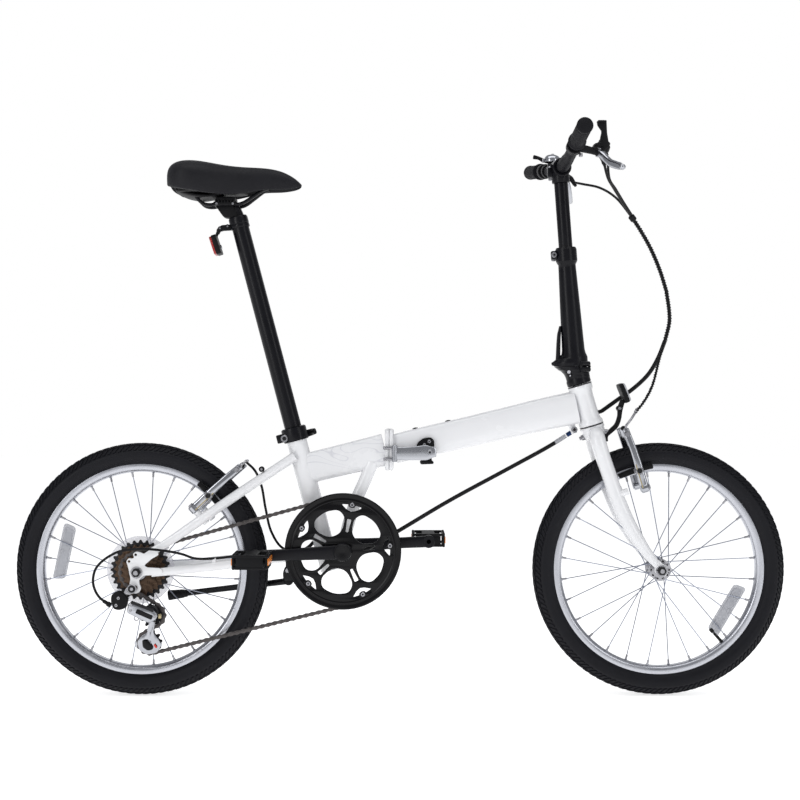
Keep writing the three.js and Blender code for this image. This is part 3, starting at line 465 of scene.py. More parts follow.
def slab(outline, thickness, centre, normal=-Y, reference=X, holes=(), bevel=0.8, rounds=2):
    """A flat plate from an outline of [u, v] points round its centre, with holes and rounded edges."""
    curve = bpy.data.curves.new("outline", "CURVE")
    curve.dimensions = "2D"
    curve.fill_mode = "BOTH"
    curve.extrude = max(thickness / 2 - bevel, 0.01)
    curve.bevel_depth = bevel
    curve.bevel_resolution = rounds
    curve.offset = -bevel
    for loop in [outline, *holes]:
        spline = curve.splines.new("POLY")
        spline.points.add(len(loop) - 1)
        for point, (u, w) in zip(spline.points, loop):
            point.co = (u, w, 0, 1)
        spline.use_cyclic_u = True
    holder = bpy.data.objects.new("outline", curve)
    bpy.context.collection.objects.link(holder)
    depsgraph = bpy.context.evaluated_depsgraph_get()
    depsgraph.update()
    mesh = bpy.data.meshes.new_from_object(holder.evaluated_get(depsgraph))
    work = bmesh.new()
    work.from_mesh(mesh)
    bmesh.ops.remove_doubles(work, verts=work.verts, dist=0.002)
    bmesh.ops.recalc_face_normals(work, faces=work.faces)
    matrix = place(centre, normal, reference)
    work.verts.index_update()
    verts = [matrix @ v.co for v in work.verts]
    faces = [tuple(v.index for v in f.verts) for f in work.faces]
    work.free()
    bpy.data.objects.remove(holder)
    bpy.data.curves.remove(curve)
    bpy.data.meshes.remove(mesh)
    return verts, faces


def circle(u, w, radius, count=24):
    step = 2 * math.pi / count
    return [(u + radius * math.cos(i * step), w + radius * math.sin(i * step)) for i in range(count)]


def rounded(corners, radius, count=5):
    """An outline whose corners are rounded by an arc-like curve of the given reach."""
    result = []
    total = len(corners)
    radii = radius if isinstance(radius, (list, tuple)) else [radius] * total
    for i, corner in enumerate(corners):
        p = Vector((*corner, 0))
        before = Vector((*corners[i - 1], 0)) - p
        after = Vector((*corners[(i + 1) % total], 0)) - p
        reach = min(radii[i], before.length * 0.48, after.length * 0.48)
        a = p + before.normalized() * reach
        b = p + after.normalized() * reach
        for k in range(count + 1):
            t = k / count
            point = a * (1 - t) ** 2 + p * (2 * t * (1 - t)) + b * t ** 2
            result.append((point.x, point.y))
    return result


def soft_box(size, centre, bevel=1.5, axis=Z, reference=X):
    """A box with rounded edges. Its size is along reference, the third way, and axis."""
    work = bmesh.new()
    bmesh.ops.create_cube(work, size=1.0)
    for v in work.verts:
        v.co = Vector((v.co.x * size[0], v.co.y * size[1], v.co.z * size[2]))
    bmesh.ops.bevel(work, geom=work.edges[:], offset=min(bevel, min(size) * 0.45), segments=3,
                    affect="EDGES", profile=0.5)
    matrix = place(centre, axis, reference)
    work.verts.index_update()
    verts = [matrix @ v.co for v in work.verts]
    faces = [tuple(v.index for v in f.verts) for f in work.faces]
    work.free()
    return verts, faces


def ball(centre, radius, scale):
    """A ball stretched along the three axes."""
    profile = [(0, -1)]
    for i in range(1, 12):
        angle = -math.pi / 2 + math.pi * i / 12
        profile.append((math.cos(angle), math.sin(angle)))
    profile.append((0, 1))
    verts, faces = lathe(profile, (0, 0, 0), Z, 20)
    matrix = place(centre, Z, X)
    stretch = Vector(scale) * radius
    return [matrix @ Vector((v.x * stretch.x, v.y * stretch.y, v.z * stretch.z)) for v in verts], faces


def dressed(finish, *shapes):
    """Pairs for piece: each shape with the one finish."""
    return [(shape, finish) for shape in shapes]


def piece(name, body, parts, replaces=(), angle=38, subdivide=0):
    """One Blender object from (geometry, material) pairs, riding on a body of the frame."""
    mesh = bpy.data.meshes.new(name)
    verts, faces, slots, materials = [], [], [], []
    for (part_verts, part_faces), material in parts:
        if material not in materials:
            materials.append(material)
        index = materials.index(material)
        start = len(verts)
        verts.extend(v * MM for v in part_verts)
        for face in part_faces:
            faces.append(tuple(start + i for i in face))
            slots.append(index)
    mesh.from_pydata(verts, [], faces)
    for material in materials:
        mesh.materials.append(material)
    mesh.polygons.foreach_set("material_index", slots)
    mesh.shade_smooth()
    mesh.set_sharp_from_angle(angle=math.radians(angle))
    mesh.update()
    obj = bpy.data.objects.new(name, mesh)
    bpy.context.collection.objects.link(obj)
    if subdivide:
        modifier = obj.modifiers.new("smooth", "SUBSURF")
        modifier.levels = modifier.render_levels = subdivide
    if body:
        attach(obj, body)
    if replaces:
        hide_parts(*replaces)
    return obj


# ---------------------------------------------------------------- camera and light

CAMERA_DISTANCE = 2960
CAMERA_HEIGHT = 584.7
VIEW_WIDTH = 1590.4
SENSOR = 36.0


def studio():
    camera_data = bpy.data.cameras.new("camera")
    camera_data.sensor_width = SENSOR
    camera_data.lens = SENSOR * CAMERA_DISTANCE / VIEW_WIDTH
    camera = bpy.data.objects.new("camera", camera_data)
    camera.location = Vector((-0.6, -CAMERA_DISTANCE, CAMERA_HEIGHT)) * MM
    camera.rotation_euler = (math.radians(90), 0, 0)
    bpy.context.collection.objects.link(camera)
    bpy.context.scene.camera = camera

    world = bpy.data.worlds.new("studio")
    world.use_nodes = True
    nodes, links = world.node_tree.nodes, world.node_tree.links
    soft = nodes["Background"]
    soft.inputs["Color"].default_value = (0.96, 0.97, 1.0, 1)
    soft.inputs["Strength"].default_value = 0.4
    backdrop = nodes.new("ShaderNodeBackground")
    backdrop.inputs["Color"].default_value = (1, 1, 1, 1)
    seen = nodes.new("ShaderNodeLightPath")
    choose = nodes.new("ShaderNodeMixShader")
    links.new(seen.outputs["Is Camera Ray"], choose.inputs[0])
    links.new(soft.outputs[0], choose.inputs[1])
    links.new(backdrop.outputs[0], choose.inputs[2])
    links.new(choose.outputs[0], nodes["World Output"].inputs["Surface"])
    bpy.context.scene.world = world
    bpy.context.scene.view_settings.view_transform = "Standard"

    lights = (
        # name, place, width, height, power
        ("key", (-1.9, -2.1, 1.5), 0.8, 2.2, 19),
        ("fill", (2.1, -1.9, 1.4), 0.6, 2.2, 10),
        ("top", (0.0, -0.5, 2.7), 2.6, 1.2, 16),
        ("back", (0.2, 2.3, 1.7), 2.6, 1.2, 8),
    )
    for name, spot, width, height, power in lights:
        data = bpy.data.lights.new(name, "AREA")
        data.shape = "RECTANGLE"
        data.size = width
        data.size_y = height
        data.energy = power
        lamp = bpy.data.objects.new(name, data)
        lamp.location = spot
        aim = Vector((0, 0, 0.5)) - Vector(spot)
        lamp.rotation_euler = aim.to_track_quat("-Z", "Y").to_euler()
        bpy.context.collection.objects.link(lamp)

    material, nodes, links, shader = new_material("pale_floor")
    shader.inputs["Base Color"].default_value = (0.97, 0.97, 0.97, 1)
    shader.inputs["Roughness"].default_value = 0.9
    shader.inputs["Emission Color"].default_value = (1, 1, 1, 1)
    shader.inputs["Emission Strength"].default_value = 0.66
    mesh = bpy.data.meshes.new("floor")
    reach = 12.0
    mesh.from_pydata([(-reach, -reach, 0), (reach, -reach, 0), (reach, reach, 0), (-reach, reach, 0)], [],
                     [(0, 1, 2, 3)])
    mesh.materials.append(material)
    floor = bpy.data.objects.new("floor", mesh)
    floor.location.z = -0.0005
    bpy.context.collection.objects.link(floor)


# ---------------------------------------------------------------- wheels

SPOKES = 28
TYRE_SECTION = 23.5
TYRE_CENTRE = WHEEL_RADIUS - TYRE_SECTION
RIM_INNER = 192.0
SPOKE_CROSSING = math.radians(51)


def around(hub, radius, angle, y=0.0):
    return hub + vec(radius * math.cos(angle), y, radius * math.sin(angle))


def tyre_point(hub, around_angle, across_angle, height):
    reach = TYRE_SECTION + height
    radius = TYRE_CENTRE + reach * math.cos(across_angle)
    return around(hub, radius, around_angle, reach * math.sin(across_angle))


def tread(hub):
    """Rows of raised blocks: slanted ones by the middle and bars on the shoulders."""
    rows = (
        # angle across from, to, slant, share of the pitch, count round the tyre
        (-0.18, 0.18, 0.5, 0.70, 96),
        (0.26, 0.56, 0.9, 0.62, 96), (-0.56, -0.26, -0.9, 0.62, 96),
        (0.66, 1.14, 0.75, 0.52, 144), (-1.14, -0.66, -0.75, 0.52, 144),
    )
    verts, faces = [], []
    for low, high, slant, share, count in rows:
        pitch = 2 * math.pi / count
        for i in range(count):
            start = pitch * i
            block = []
            for height, inset in ((-2.6, 0.0), (-0.1, 0.14)):
                for u, w in ((0, 0), (1, 0), (1, 1), (0, 1)):
                    along = start + pitch * share * (u * (1 - 2 * inset) + inset) + pitch * slant * w
                    across = low + (high - low) * (w * (1 - 2 * inset * 0.5) + inset * 0.5)
                    block.append(tyre_point(hub, along, across, height))
            base = len(verts)
            verts.extend(block)
            for face in ((0, 3, 2, 1), (4, 5, 6, 7), (0, 1, 5, 4), (1, 2, 6, 5), (2, 3, 7, 6), (3, 0, 4, 7)):
                faces.append(tuple(base + k for k in reversed(face)))
    return verts, faces


def tyre(hub):
    profile = []
    for degrees in range(-128, 129, 8):
        angle = math.radians(degrees)
        reach = TYRE_SECTION - (2.2 if abs(degrees) < 68 else 0.4)
        if 76 <= abs(degrees) <= 80 or 104 <= abs(degrees) <= 108:
            reach += 0.5
        profile.append((TYRE_CENTRE + reach * math.cos(angle), reach * math.sin(angle)))
    profile += [(RIM_INNER + 14, 10.0), (RIM_INNER + 13, -10.0)]
    return lathe(profile, hub, -Y, 144, X)


def rim(hub):
    profile = [(192, 0), (192.3, 4), (193.2, 7.2), (195.4, 10), (198, 11.9), (200.5, 12.5), (208.6, 12.5),
               (210, 12.1), (210, 10.9), (208.8, 10.4), (206.5, 10.9), (204.4, 9.6), (204.4, -9.6),
               (206.5, -10.9), (208.8, -10.4), (210, -10.9), (210, -12.1), (208.6, -12.5), (200.5, -12.5),
               (198, -11.9), (195.4, -10), (193.2, -7.2), (192.3, -4)]
    return lathe(profile, hub, -Y, 144, X)


def spoke_ends(hub, index, flanges, flange_radius):
    """The nipple end and the flange end of one spoke."""
    rim_angle = 2 * math.pi * (index + 0.5) / SPOKES
    lean = SPOKE_CROSSING if index % 4 < 2 else -SPOKE_CROSSING
    flange = flanges[index % 2] + (1.6 if index % 4 < 2 else -1.6)
    outer = around(hub, RIM_INNER - 0.5, rim_angle, 2.0 if flange > 0 else -2.0)
    inner = around(hub, flange_radius - 3, rim_angle + lean, flange)
    return outer, inner


def wheel(word, hub, flanges, shell_radius, flange_radius, ends, reflector_angle, valve_angle):
    body = f"{word}_wheel"
    piece(f"{word}_tyre_casing", body, dressed(TYRE, tyre(hub), tread(hub)), [f"{word}_tyre"], angle=30)
    hoop, spokes = [(rim(hub), RIM_ALLOY)], []
    for i in range(SPOKES):
        outer, inner = spoke_ends(hub, i, flanges, flange_radius)
        reach = (inner - outer).normalized()
        hoop.append((disc(outer - reach * 0.6, outer + reach * 0.8, 3.0, 0.3, 12), RIM_ALLOY))
        spokes += [(sweep([outer, inner], 1.0, sides=8, straight=True), SPOKE_STEEL),
                   *dressed(STEEL, disc(outer, outer + reach * 9, 2.1, 0.5, 10),
                            disc(inner - Y * 2.2, inner + Y * 2.2, 1.9, 0.6, 10))]
    piece(f"{word}_rim_hoop", body, hoop, [f"{word}_rim"], angle=30)
    piece(f"{word}_spokes", body, spokes)
    low, high = flanges
    r, f = shell_radius, flange_radius
    profile = [(5.9, ends[0]), (r - 4, ends[0]), (r - 4, low - 3), (r - 1, low - 2), (f - 1, low - 1.6),
               (f, low - 1), (f, low + 1), (f - 1, low + 1.6), (r, low + 3), (r - 1.5, low + 8),
               (r - 2, (low + high) / 2), (r - 1.5, high - 8), (r, high - 3), (f - 1, high - 1.6),
               (f, high - 1), (f, high + 1), (f - 1, high + 1.6), (r - 1, high + 2), (r - 4, high + 3),
               (r - 4, ends[1]), (5.9, ends[1])]
    # Dark discs on the flange faces are painted shade standing in for the holes in the flanges.
    hole_shade_discs = []
    for i in range(10):
        for face, y in ((-1, low - 1.2), (1, high + 1.2)):
            spot = around(hub, (r + f) / 2, 2 * math.pi * i / 10, y)
            hole_shade_discs.append((disc(spot, spot + Y * face * 0.6, 2.4, 0.1, 14), DARK_STEEL))
    piece(f"{word}_hub_shell", body, [(lathe(profile, hub), STEEL), *hole_shade_discs], [f"{word}_hub"], angle=30)
    stem = around(hub, RIM_INNER + 2, valve_angle)
    inward = (hub - stem).normalized()
    piece(f"{word}_valve", body, dressed(CABLE_BLACK, disc(stem, stem + inward * 4, 4.2, 0.8, 16),
                                         disc(stem + inward * 2, stem + inward * 26, 3.1, 0.8, 16),
                                         disc(stem + inward * 26, stem + inward * 36, 4.2, 1.4, 16)))
    spoke_reflector(word, body, hub, reflector_angle)


def spoke_reflector(word, body, hub, angle):
    """A clear prismatic plate clipped between the spokes."""
    centre = around(hub, 159, angle, 0)
    tangent = vec(-math.sin(angle), 0, math.cos(angle))
    outline = rounded([(-57, -12), (57, -12), (52, 13), (-52, 13)], 8)
    inset = rounded([(-50, -8), (50, -8), (46, 9), (-46, 9)], 5)
    outward = (centre - hub).normalized()
    side = outward.cross(tangent)
    parts = [(slab(outline, 5.0, centre, side, tangent, bevel=1.0), CLEAR_PRISM)]
    for face in (1, -1):
        parts.append((slab(inset, 1.2, centre + side * face * 2.7, side, tangent, bevel=0.4), CLEAR_PRISM))
        clip = centre + outward * 4 + side * face * 3
        parts.append((disc(clip, clip + side * face * 1.6, 4.5, 0.5, 20), CLEAR_PRISM))
    piece(f"{word}_spoke_reflector", body, parts)


def axle_set(word, hub, body, inner, outer, end, replaces=()):
    parts = []
    for side in (RIGHT, LEFT):
        at = lambda y: hub + Y * side * y
        parts += [*dressed(STEEL, disc(at(inner - 5.5), at(inner - 0.4), 8.6, 0.8, 24),
                           disc(at(outer + 0.3), at(outer + 2.2), 11.5, 0.5)),
                  *dressed(DARK_STEEL, hex_bar(at(outer + 2.2), at(outer + 10.5), 8.7),
                           dome(at(outer + 10.5), Y * side, 6.8, 2.0)),
                  (disc(at(outer + 8), at(end), 4.7, 0.8, 20), STEEL)]
    parts.append((disc(hub - Y * (inner - 3), hub + Y * (inner - 3), 4.9, 0.4, 20), STEEL))
    piece(f"{word}_axle_and_nuts", body, parts, replaces)


def wheels():
    wheel("rear", REAR_HUB, flanges=(-19, 34), shell_radius=16, flange_radius=22, ends=(-23.4, 42),
          reflector_angle=math.radians(168), valve_angle=math.radians(2.4))
    wheel("front", FRONT_HUB, flanges=(-25, 25), shell_radius=12, flange_radius=22, ends=(-32, 32),
          reflector_angle=math.radians(-31), valve_angle=math.radians(-49))
    axle_set("rear", REAR_HUB, "rear_frame", inner=65, outer=71, end=84, replaces=["rear_axle"])
    axle_set("front", FRONT_HUB, "fork", inner=37.6, outer=42.4, end=55)


# ---------------------------------------------------------------- frame

SEAT_LINE = vec(-217.0, 0, 544.9)


def seat_axis(z):
    """The point of the seat tube's axis at a height."""
    return SEAT_LINE + SEAT_DOWN * ((z - SEAT_LINE.z) / SEAT_DOWN.z)


def rear_frame():
    tube = lathe([(17.4, 0), (19.4, 0), (20, 0.8), (20, 279), (20.6, 281), (20.6, 290), (20, 291.5),
                  (17.4, 291.5)], seat_axis(247), -SEAT_DOWN, 56)
    shell = lathe([(16.5, -34), (19.3, -34), (20, -33.2), (20, 33.2), (19.3, 34), (16.5, 34)],
                  BOTTOM_BRACKET)
    piece("seat_tube_and_shell", "rear_frame", dressed(PAINT, tube, shell), ["seat_tube"])
    cups = []
    for side in (RIGHT, LEFT):
        near = BOTTOM_BRACKET + Y * side * 33
        cups.append((disc(near, near + Y * side * 4.5, 18.5, 0.8, 40, bore=9.2), DARK_STEEL))
    cups.append((lathe([(8.8, -33), (15.9, -33), (15.9, 33), (8.8, 33)], BOTTOM_BRACKET, Y, 32), DARK_STEEL))
    piece("bottom_bracket_unit", "rear_frame", cups, ["bottom_bracket"])

    beam = sweep([(-186, 0, 448.3), (-140, 0, 459.5), (-100, 0, 469.2), (-60, 0, 478.8), (-30.5, 0, 486)],
                 [17.5, 18, 18.2, 18.4, 18.6], [30.5, 30.5, 31, 31.6, 32.3], 24, 48, 3.6, Y)
    piece("rear_main_beam", "rear_frame", [(beam, CONTOUR), *hinge_casing(-1)], ["rear_beam"])

    braces = []
    for side in (RIGHT, LEFT):
        y = side * 9.5
        braces.append((sweep([(-55, y, 462), (-70, y, 425), (-88, y, 385), (-104, y, 335), (-112, y, 300)],
                             [10.5, 10.5, 11, 11.5], [13, 12.5, 12, 12], 28, 28, 2.2, Y), PAINT))
    piece("beam_braces", "rear_frame", braces, ["brace_tubes"])
    for side, word in SIDES:
        stays(side, word)


def hinge_casing(half):
    """One half of the main hinge: half is -1 behind the joint plane and 1 in front of it."""
    inner = HINGE.x + half * 0.25
    outer = HINGE.x + half * 8.2
    middle = (inner + outer) / 2
    outline = rounded([(-27, 444.8), (24, 444.8), (34, 452), (34, 519), (24, 526.8), (-27, 526.8)],
                      [13, 6, 8, 8, 6, 13], 6)
    plate = slab(outline, outer * half - inner * half, (middle, 0, 0), X, Y, bevel=2.4, rounds=4)
    parts = [(plate, PAINT)]
    spans = ((446, 464.6), (507.4, 525.5)) if half < 0 else ((465, 507),)
    for bottom, top in spans:
        parts.append((disc((HINGE.x, HINGE.y, bottom), (HINGE.x, HINGE.y, top), 8.9, 1.2), PAINT))
    if half < 0:
        for bottom, top in ((444.6, 446.2), (525.2, 527)):
            parts.append((disc((HINGE.x, HINGE.y, bottom), (HINGE.x, HINGE.y, top), 5.2, 0.6, 24), STEEL))
    return parts


DROPOUT = [(-20.1, 21.5), (-17, 12), (-13.9, -0.8), (-11.8, -13), (-13.5, -22), (-15.5, -30), (-11, -38),
           (-3, -41.5), (5, -39), (9, -31), (5.5, -22), (4.8, -15), (14, -6), (44, -5), (50, -2), (50, 5),
           (44, 8.4), (20, 9.8), (15, 13.5), (29, 26), (43, 34), (38, 46), (24, 43), (14.3, 36), (6, 39.5),
           (-1.5, 40.5), (-7, 36), (-4.8, 28), (-9.1, 26.8), (-15.3, 28)]


def stays(side, word):
    chain = sweep([(-150, side * 27.6, 281.5), (-226, side * 31, 275), (-330, side * 48, 264),
                   (-400, side * 58, 256.5), (-484, side * 64.5, 248.2)], [9, 9, 9, 8.6, 6.5, 3.6],
                  [9, 9.2, 9.2, 9, 8.6, 7.6], 40, 28, 2.0, Y)
    seat = sweep([(-482, side * 65.5, 290), (-440, side * 61, 316), (-386, side * 55, 353.5),
                  (-320, side * 42, 399), (-208, side * 24.5, 473.4)], [3.4, 6.5, 8.8, 9.4, 9.4],
                 [7.6, 9, 9.5, 9.5, 9.5], 40, 28, 2.0, Y)
    outline = [(u, w) for u, w in DROPOUT if side == RIGHT or w > -21]
    eyelets = [circle(-14.6, 21.4, 2.6, 16), circle(-1.7, 34.3, 2.6, 16)]
    holes = eyelets if side == LEFT else [*eyelets, circle(-3.5, -30, 5.2, 20)]
    plate = slab(rounded(outline, 2.5, 3), 5.6, REAR_HUB + Y * side * 68, -Y, X, holes, 0.7)
    piece(f"chainstay_{word}_and_dropout", "rear_frame", dressed(PAINT, chain, plate), [f"chainstay_{word}"],
          angle=32)
    radial = vec(0.735, 0, 0.678).normalized()
    tangent = vec(-radial.z, 0, radial.x)
    pivot = REAR_HUB + radial * 162 + Y * side * 48
    boss = disc(pivot + tangent * -22, pivot + tangent * 8.6, 6.6, 0.8, 28)
    piece(f"seatstay_{word}_tube", "rear_frame", dressed(PAINT, seat, boss), [f"seatstay_{word}"])


def front_frame():
    beam = sweep([(-12.5, 0, 487.3), (48, 0, 501.5), (98.8, 0, 513), (198.2, 0, 536.2), (277.7, 0, 554.7),
                  (350, 0, 570)], [18.6, 19, 19, 19, 19.4, 20], [29.2, 30, 30.2, 30.8, 32.2, 33], 40, 48,
                 3.2, Y)
    head_end = HEAD_BOTTOM + STEER_UP * 86
    head = lathe([(14.8, 0), (23.2, 0), (24, 0.8), (24, 9), (22.2, 12), (20.5, 17), (20, 30), (20, 62),
                  (20.8, 70), (23.2, 74), (23.8, 77), (23.8, 85.2), (23.2, 86), (14.8, 86)], HEAD_BOTTOM,
                 STEER_UP, 56)
    parts = [(beam, PAINT), *hinge_casing(1), (head, PAINT)]
    parts += dressed(PAINT, soft_box((13, 11, 26), (342, 0, 530), 3, STEER_UP))
    piece("front_main_beam", "front_frame", parts, ["front_beam"])
    lower = disc(HEAD_BOTTOM + STEER_UP * 0.2, HEAD_BOTTOM + STEER_UP * 2.6, 24.3, 0.5, 56, bore=14.9)
    upper = disc(head_end - STEER_UP * 2.6, head_end - STEER_UP * 0.2, 24.2, 0.5, 56, bore=14.9)
    piece("headset_rings", "front_frame", dressed(SATIN_BLACK, lower, upper))
    slope = vec(0.9749, 0, 0.2226)
    rise = vec(-0.2226, 0, 0.9749)
    plugs = []
    for reach in (48, 113):
        centre = vec(-12, 0, 488) + slope * (reach / slope.x) + rise * 29.6
        plugs += [(disc(centre, centre + rise * 1.5, 5.5, 0.5, 24), BLACK_PLASTIC),
                  (disc(centre + rise * 1.3, centre + rise * 2.2, 2.6, 0.3, 6), DARK_STEEL)]
    piece("boss_plugs", "front_frame", plugs)
    main_latch()
    tension_cable()


def main_latch():
    """The polished lever that locks the main hinge, its two hooks and the safety catch."""
    pivot = joint_at("main_latch")
    y = pivot.y
    lever = sweep([(-13, y + 1, 479.4), (8, y - 1, 479.6), (36, y - 1.5, 480.4), (58, y - 0.5, 482),
                   (69, y + 1.5, 483)], [4.2, 4.0, 3.6, 4.2, 3.0], [12.5, 13, 13.6, 15, 10], 28, 28, 3.4, Y,
                  round_ends=1.5)
    barrel = disc((pivot.x, y, 463), (pivot.x, y, 496), 5.6, 1.0, 28)
    bolt = [(crossbar(58, 482, y - 5.6, y - 3.0, 5.2, 0.6, 24), POLISHED),
            (crossbar(58, 482, y - 6.2, y - 5.4, 2.4, 0.2, 6), DARK_STEEL)]
    piece("main_latch_handle", "main_latch_lever", [*dressed(POLISHED, lever, barrel), *bolt],
          ["latch_lever"])
    hooks = []
    for z in (468.5, 490.5):
        hooks += dressed(STEEL, soft_box((15, 7, 5.0), (-23, y + 3.6, z), 1.4),
                         disc((-29.5, y + 3.2, z - 3), (-29.5, y + 3.2, z + 3), 4.2, 0.6, 20))
    piece("latch_hooks", "front_frame", hooks)
    catch = joint_at("safety_catch")
    outline = rounded([(30, 489), (34, 501), (45, 509.5), (60, 511.5), (67, 505), (67.5, 493), (61, 485),
                       (62, 466), (66, 463), (65.5, 458.5), (40, 457.5), (38, 464), (42, 467), (42, 486)],
                      4.0)
    shape = [(u - catch.x, w - catch.z) for u, w in outline]
    cover = slab(shape, 6.6, catch - Y * 0.2, bevel=2.4, rounds=4)
    screws = []
    for u, w in ((0, 0), (-9.5, -7)):
        spot = catch + vec(u, -3.4, w)
        screws += [(disc(spot, spot - Y * 1.4, 3.4, 0.5, 20), STEEL),
                   (disc(spot - Y * 1.3, spot - Y * 1.7, 1.6, 0.1, 6), DARK_STEEL)]
    piece("latch_safety_catch", "safety_catch", [(cover, GLOSS_BLACK), *screws], ["latch_catch"])


TENSION_ROUTE = [(343, 522.5), (297, 493.5), (215, 448.5), (98, 385), (-8, 322), (-86, 277)]


def tension_cable():
    path = smooth_path([(x, 0, z) for x, z in TENSION_ROUTE], 60)
    sleeve = sweep(path[2:], 4.1, sides=14, straight=True)
    ferrule = (path[1] - path[3]).normalized()
    end = path[0]
    parts = [(sleeve, CABLE_BLACK),
             (disc(path[2] + ferrule * 2, end + ferrule * 6, 4.5, 0.8, 20), BLUE_METAL),
             (disc(path[5], path[2], 4.4, 0.3, 20), CLEAR_PRISM),
             (disc(path[-1] - (path[-2] - path[-1]).normalized() * 3, path[-2], 4.0, 0.6, 20), STEEL)]
    cable = piece("frame_tension_wire", None, parts, ["frame_tension_cable"])
    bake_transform(cable)


# ---------------------------------------------------------------- fork and handlepost

POST_UP = -POST_DOWN
POST_FOOT = vec(346.3, 0, 651)
FOLD_PIN = joint_at("handlepost_fold")
FOLD_AXIS = joint_axis("handlepost_fold")
FOLD_INWARD = vec(-FOLD_AXIS.y, FOLD_AXIS.x, 0)


def up(z):
    """The distance up the handlepost's axis from its foot to a height."""
    return (z - POST_FOOT.z) / POST_UP.z


def post_axis(z):
    return POST_FOOT + POST_UP * up(z)


def fork():
    crown = lathe([(0, -10), (0, -24.5), (16, -23.5), (21, -20), (22.4, -14), (22.8, -7), (24.3, -5),
                   (24.3, -2), (23.6, -0.6), (14.6, -0.6)], HEAD_BOTTOM, STEER_UP)
    parts = [(crown, PAINT)]
    for side in (RIGHT, LEFT):
        blade = sweep([(386, side * 4, 517), (386.2, side * 20, 518), (387, side * 32, 513),
                       (389.5, side * 38.6, 500), (397, side * 40, 474), (407, side * 40, 445),
                       (424, side * 40, 396), (450, side * 40, 338), (482, side * 40, 288),
                       (508, side * 40, 256)], [15, 15, 15, 14.8, 14.6, 14.5, 14, 12.5, 10.2, 7.2],
                      [15, 14.5, 13.5, 11.8, 10.8, 10.4, 10, 9, 7.4, 4.4], 64, 28, 2.1)
        parts.append((blade, PAINT))
        tip = rounded([(-13, -3), (-4, -11.5), (8, -11.5), (12.5, -3), (11, 8), (3, 13), (-6, 22),
                       (-14, 16)], 4, 4)
        parts += dressed(PAINT, slab(tip, 4.8, FRONT_HUB + Y * side * 40, bevel=0.8),
                         disc((420, side * 42, 396.7), (446.5, side * 42, 406), 6.8, 0.8, 28))
    piece("fork_blades_and_crown", "fork", parts, ["fork"], angle=40)


def base_hinge():
    """The foot of the handlepost: stem clamp, hinge flange and pin knuckle."""
    boss = lathe([(0, 86.6), (22.8, 86.6), (24, 88), (24, 96), (22.6, 99), (22.6, 109), (24, 113),
                  (24.5, 118), (0, 118)], HEAD_BOTTOM, STEER_UP)
    flange = sweep([(353, 0, 627), (351.7, 0, 633), (348, 0, 640), (343, 0, 646), (339.5, 0, 650.6)],
                   [23, 23.6, 24.6, 25.8, 26], [23.8, 25, 27, 31, 33.6], 32, 48, 2.1, Y, level=Z)
    middle = FOLD_PIN + FOLD_INWARD * 4.4 - Z * 5.8
    knuckle = disc(middle - FOLD_AXIS * 14, middle + FOLD_AXIS * 14, 5.2, 1.8, 28)
    cheek = soft_box((26, 14, 10), FOLD_PIN + FOLD_INWARD * 10 - Z * 5.9, 2.4, Z, FOLD_AXIS)
    parts = dressed(SATIN_BLACK, boss, flange, knuckle, cheek)
    screw_way = vec(-0.5, -0.86, 0)
    for screw, radius in ((vec(333, -22.6, 640), 3.6), (vec(335.6, -22.6, 632.6), 1.7)):
        parts.append((disc(screw - screw_way * 2, screw + screw_way * 1.4, radius, 0.4, 20), STEEL))
    piece("handlepost_foot", "fork", parts, ["handlepost_base"])


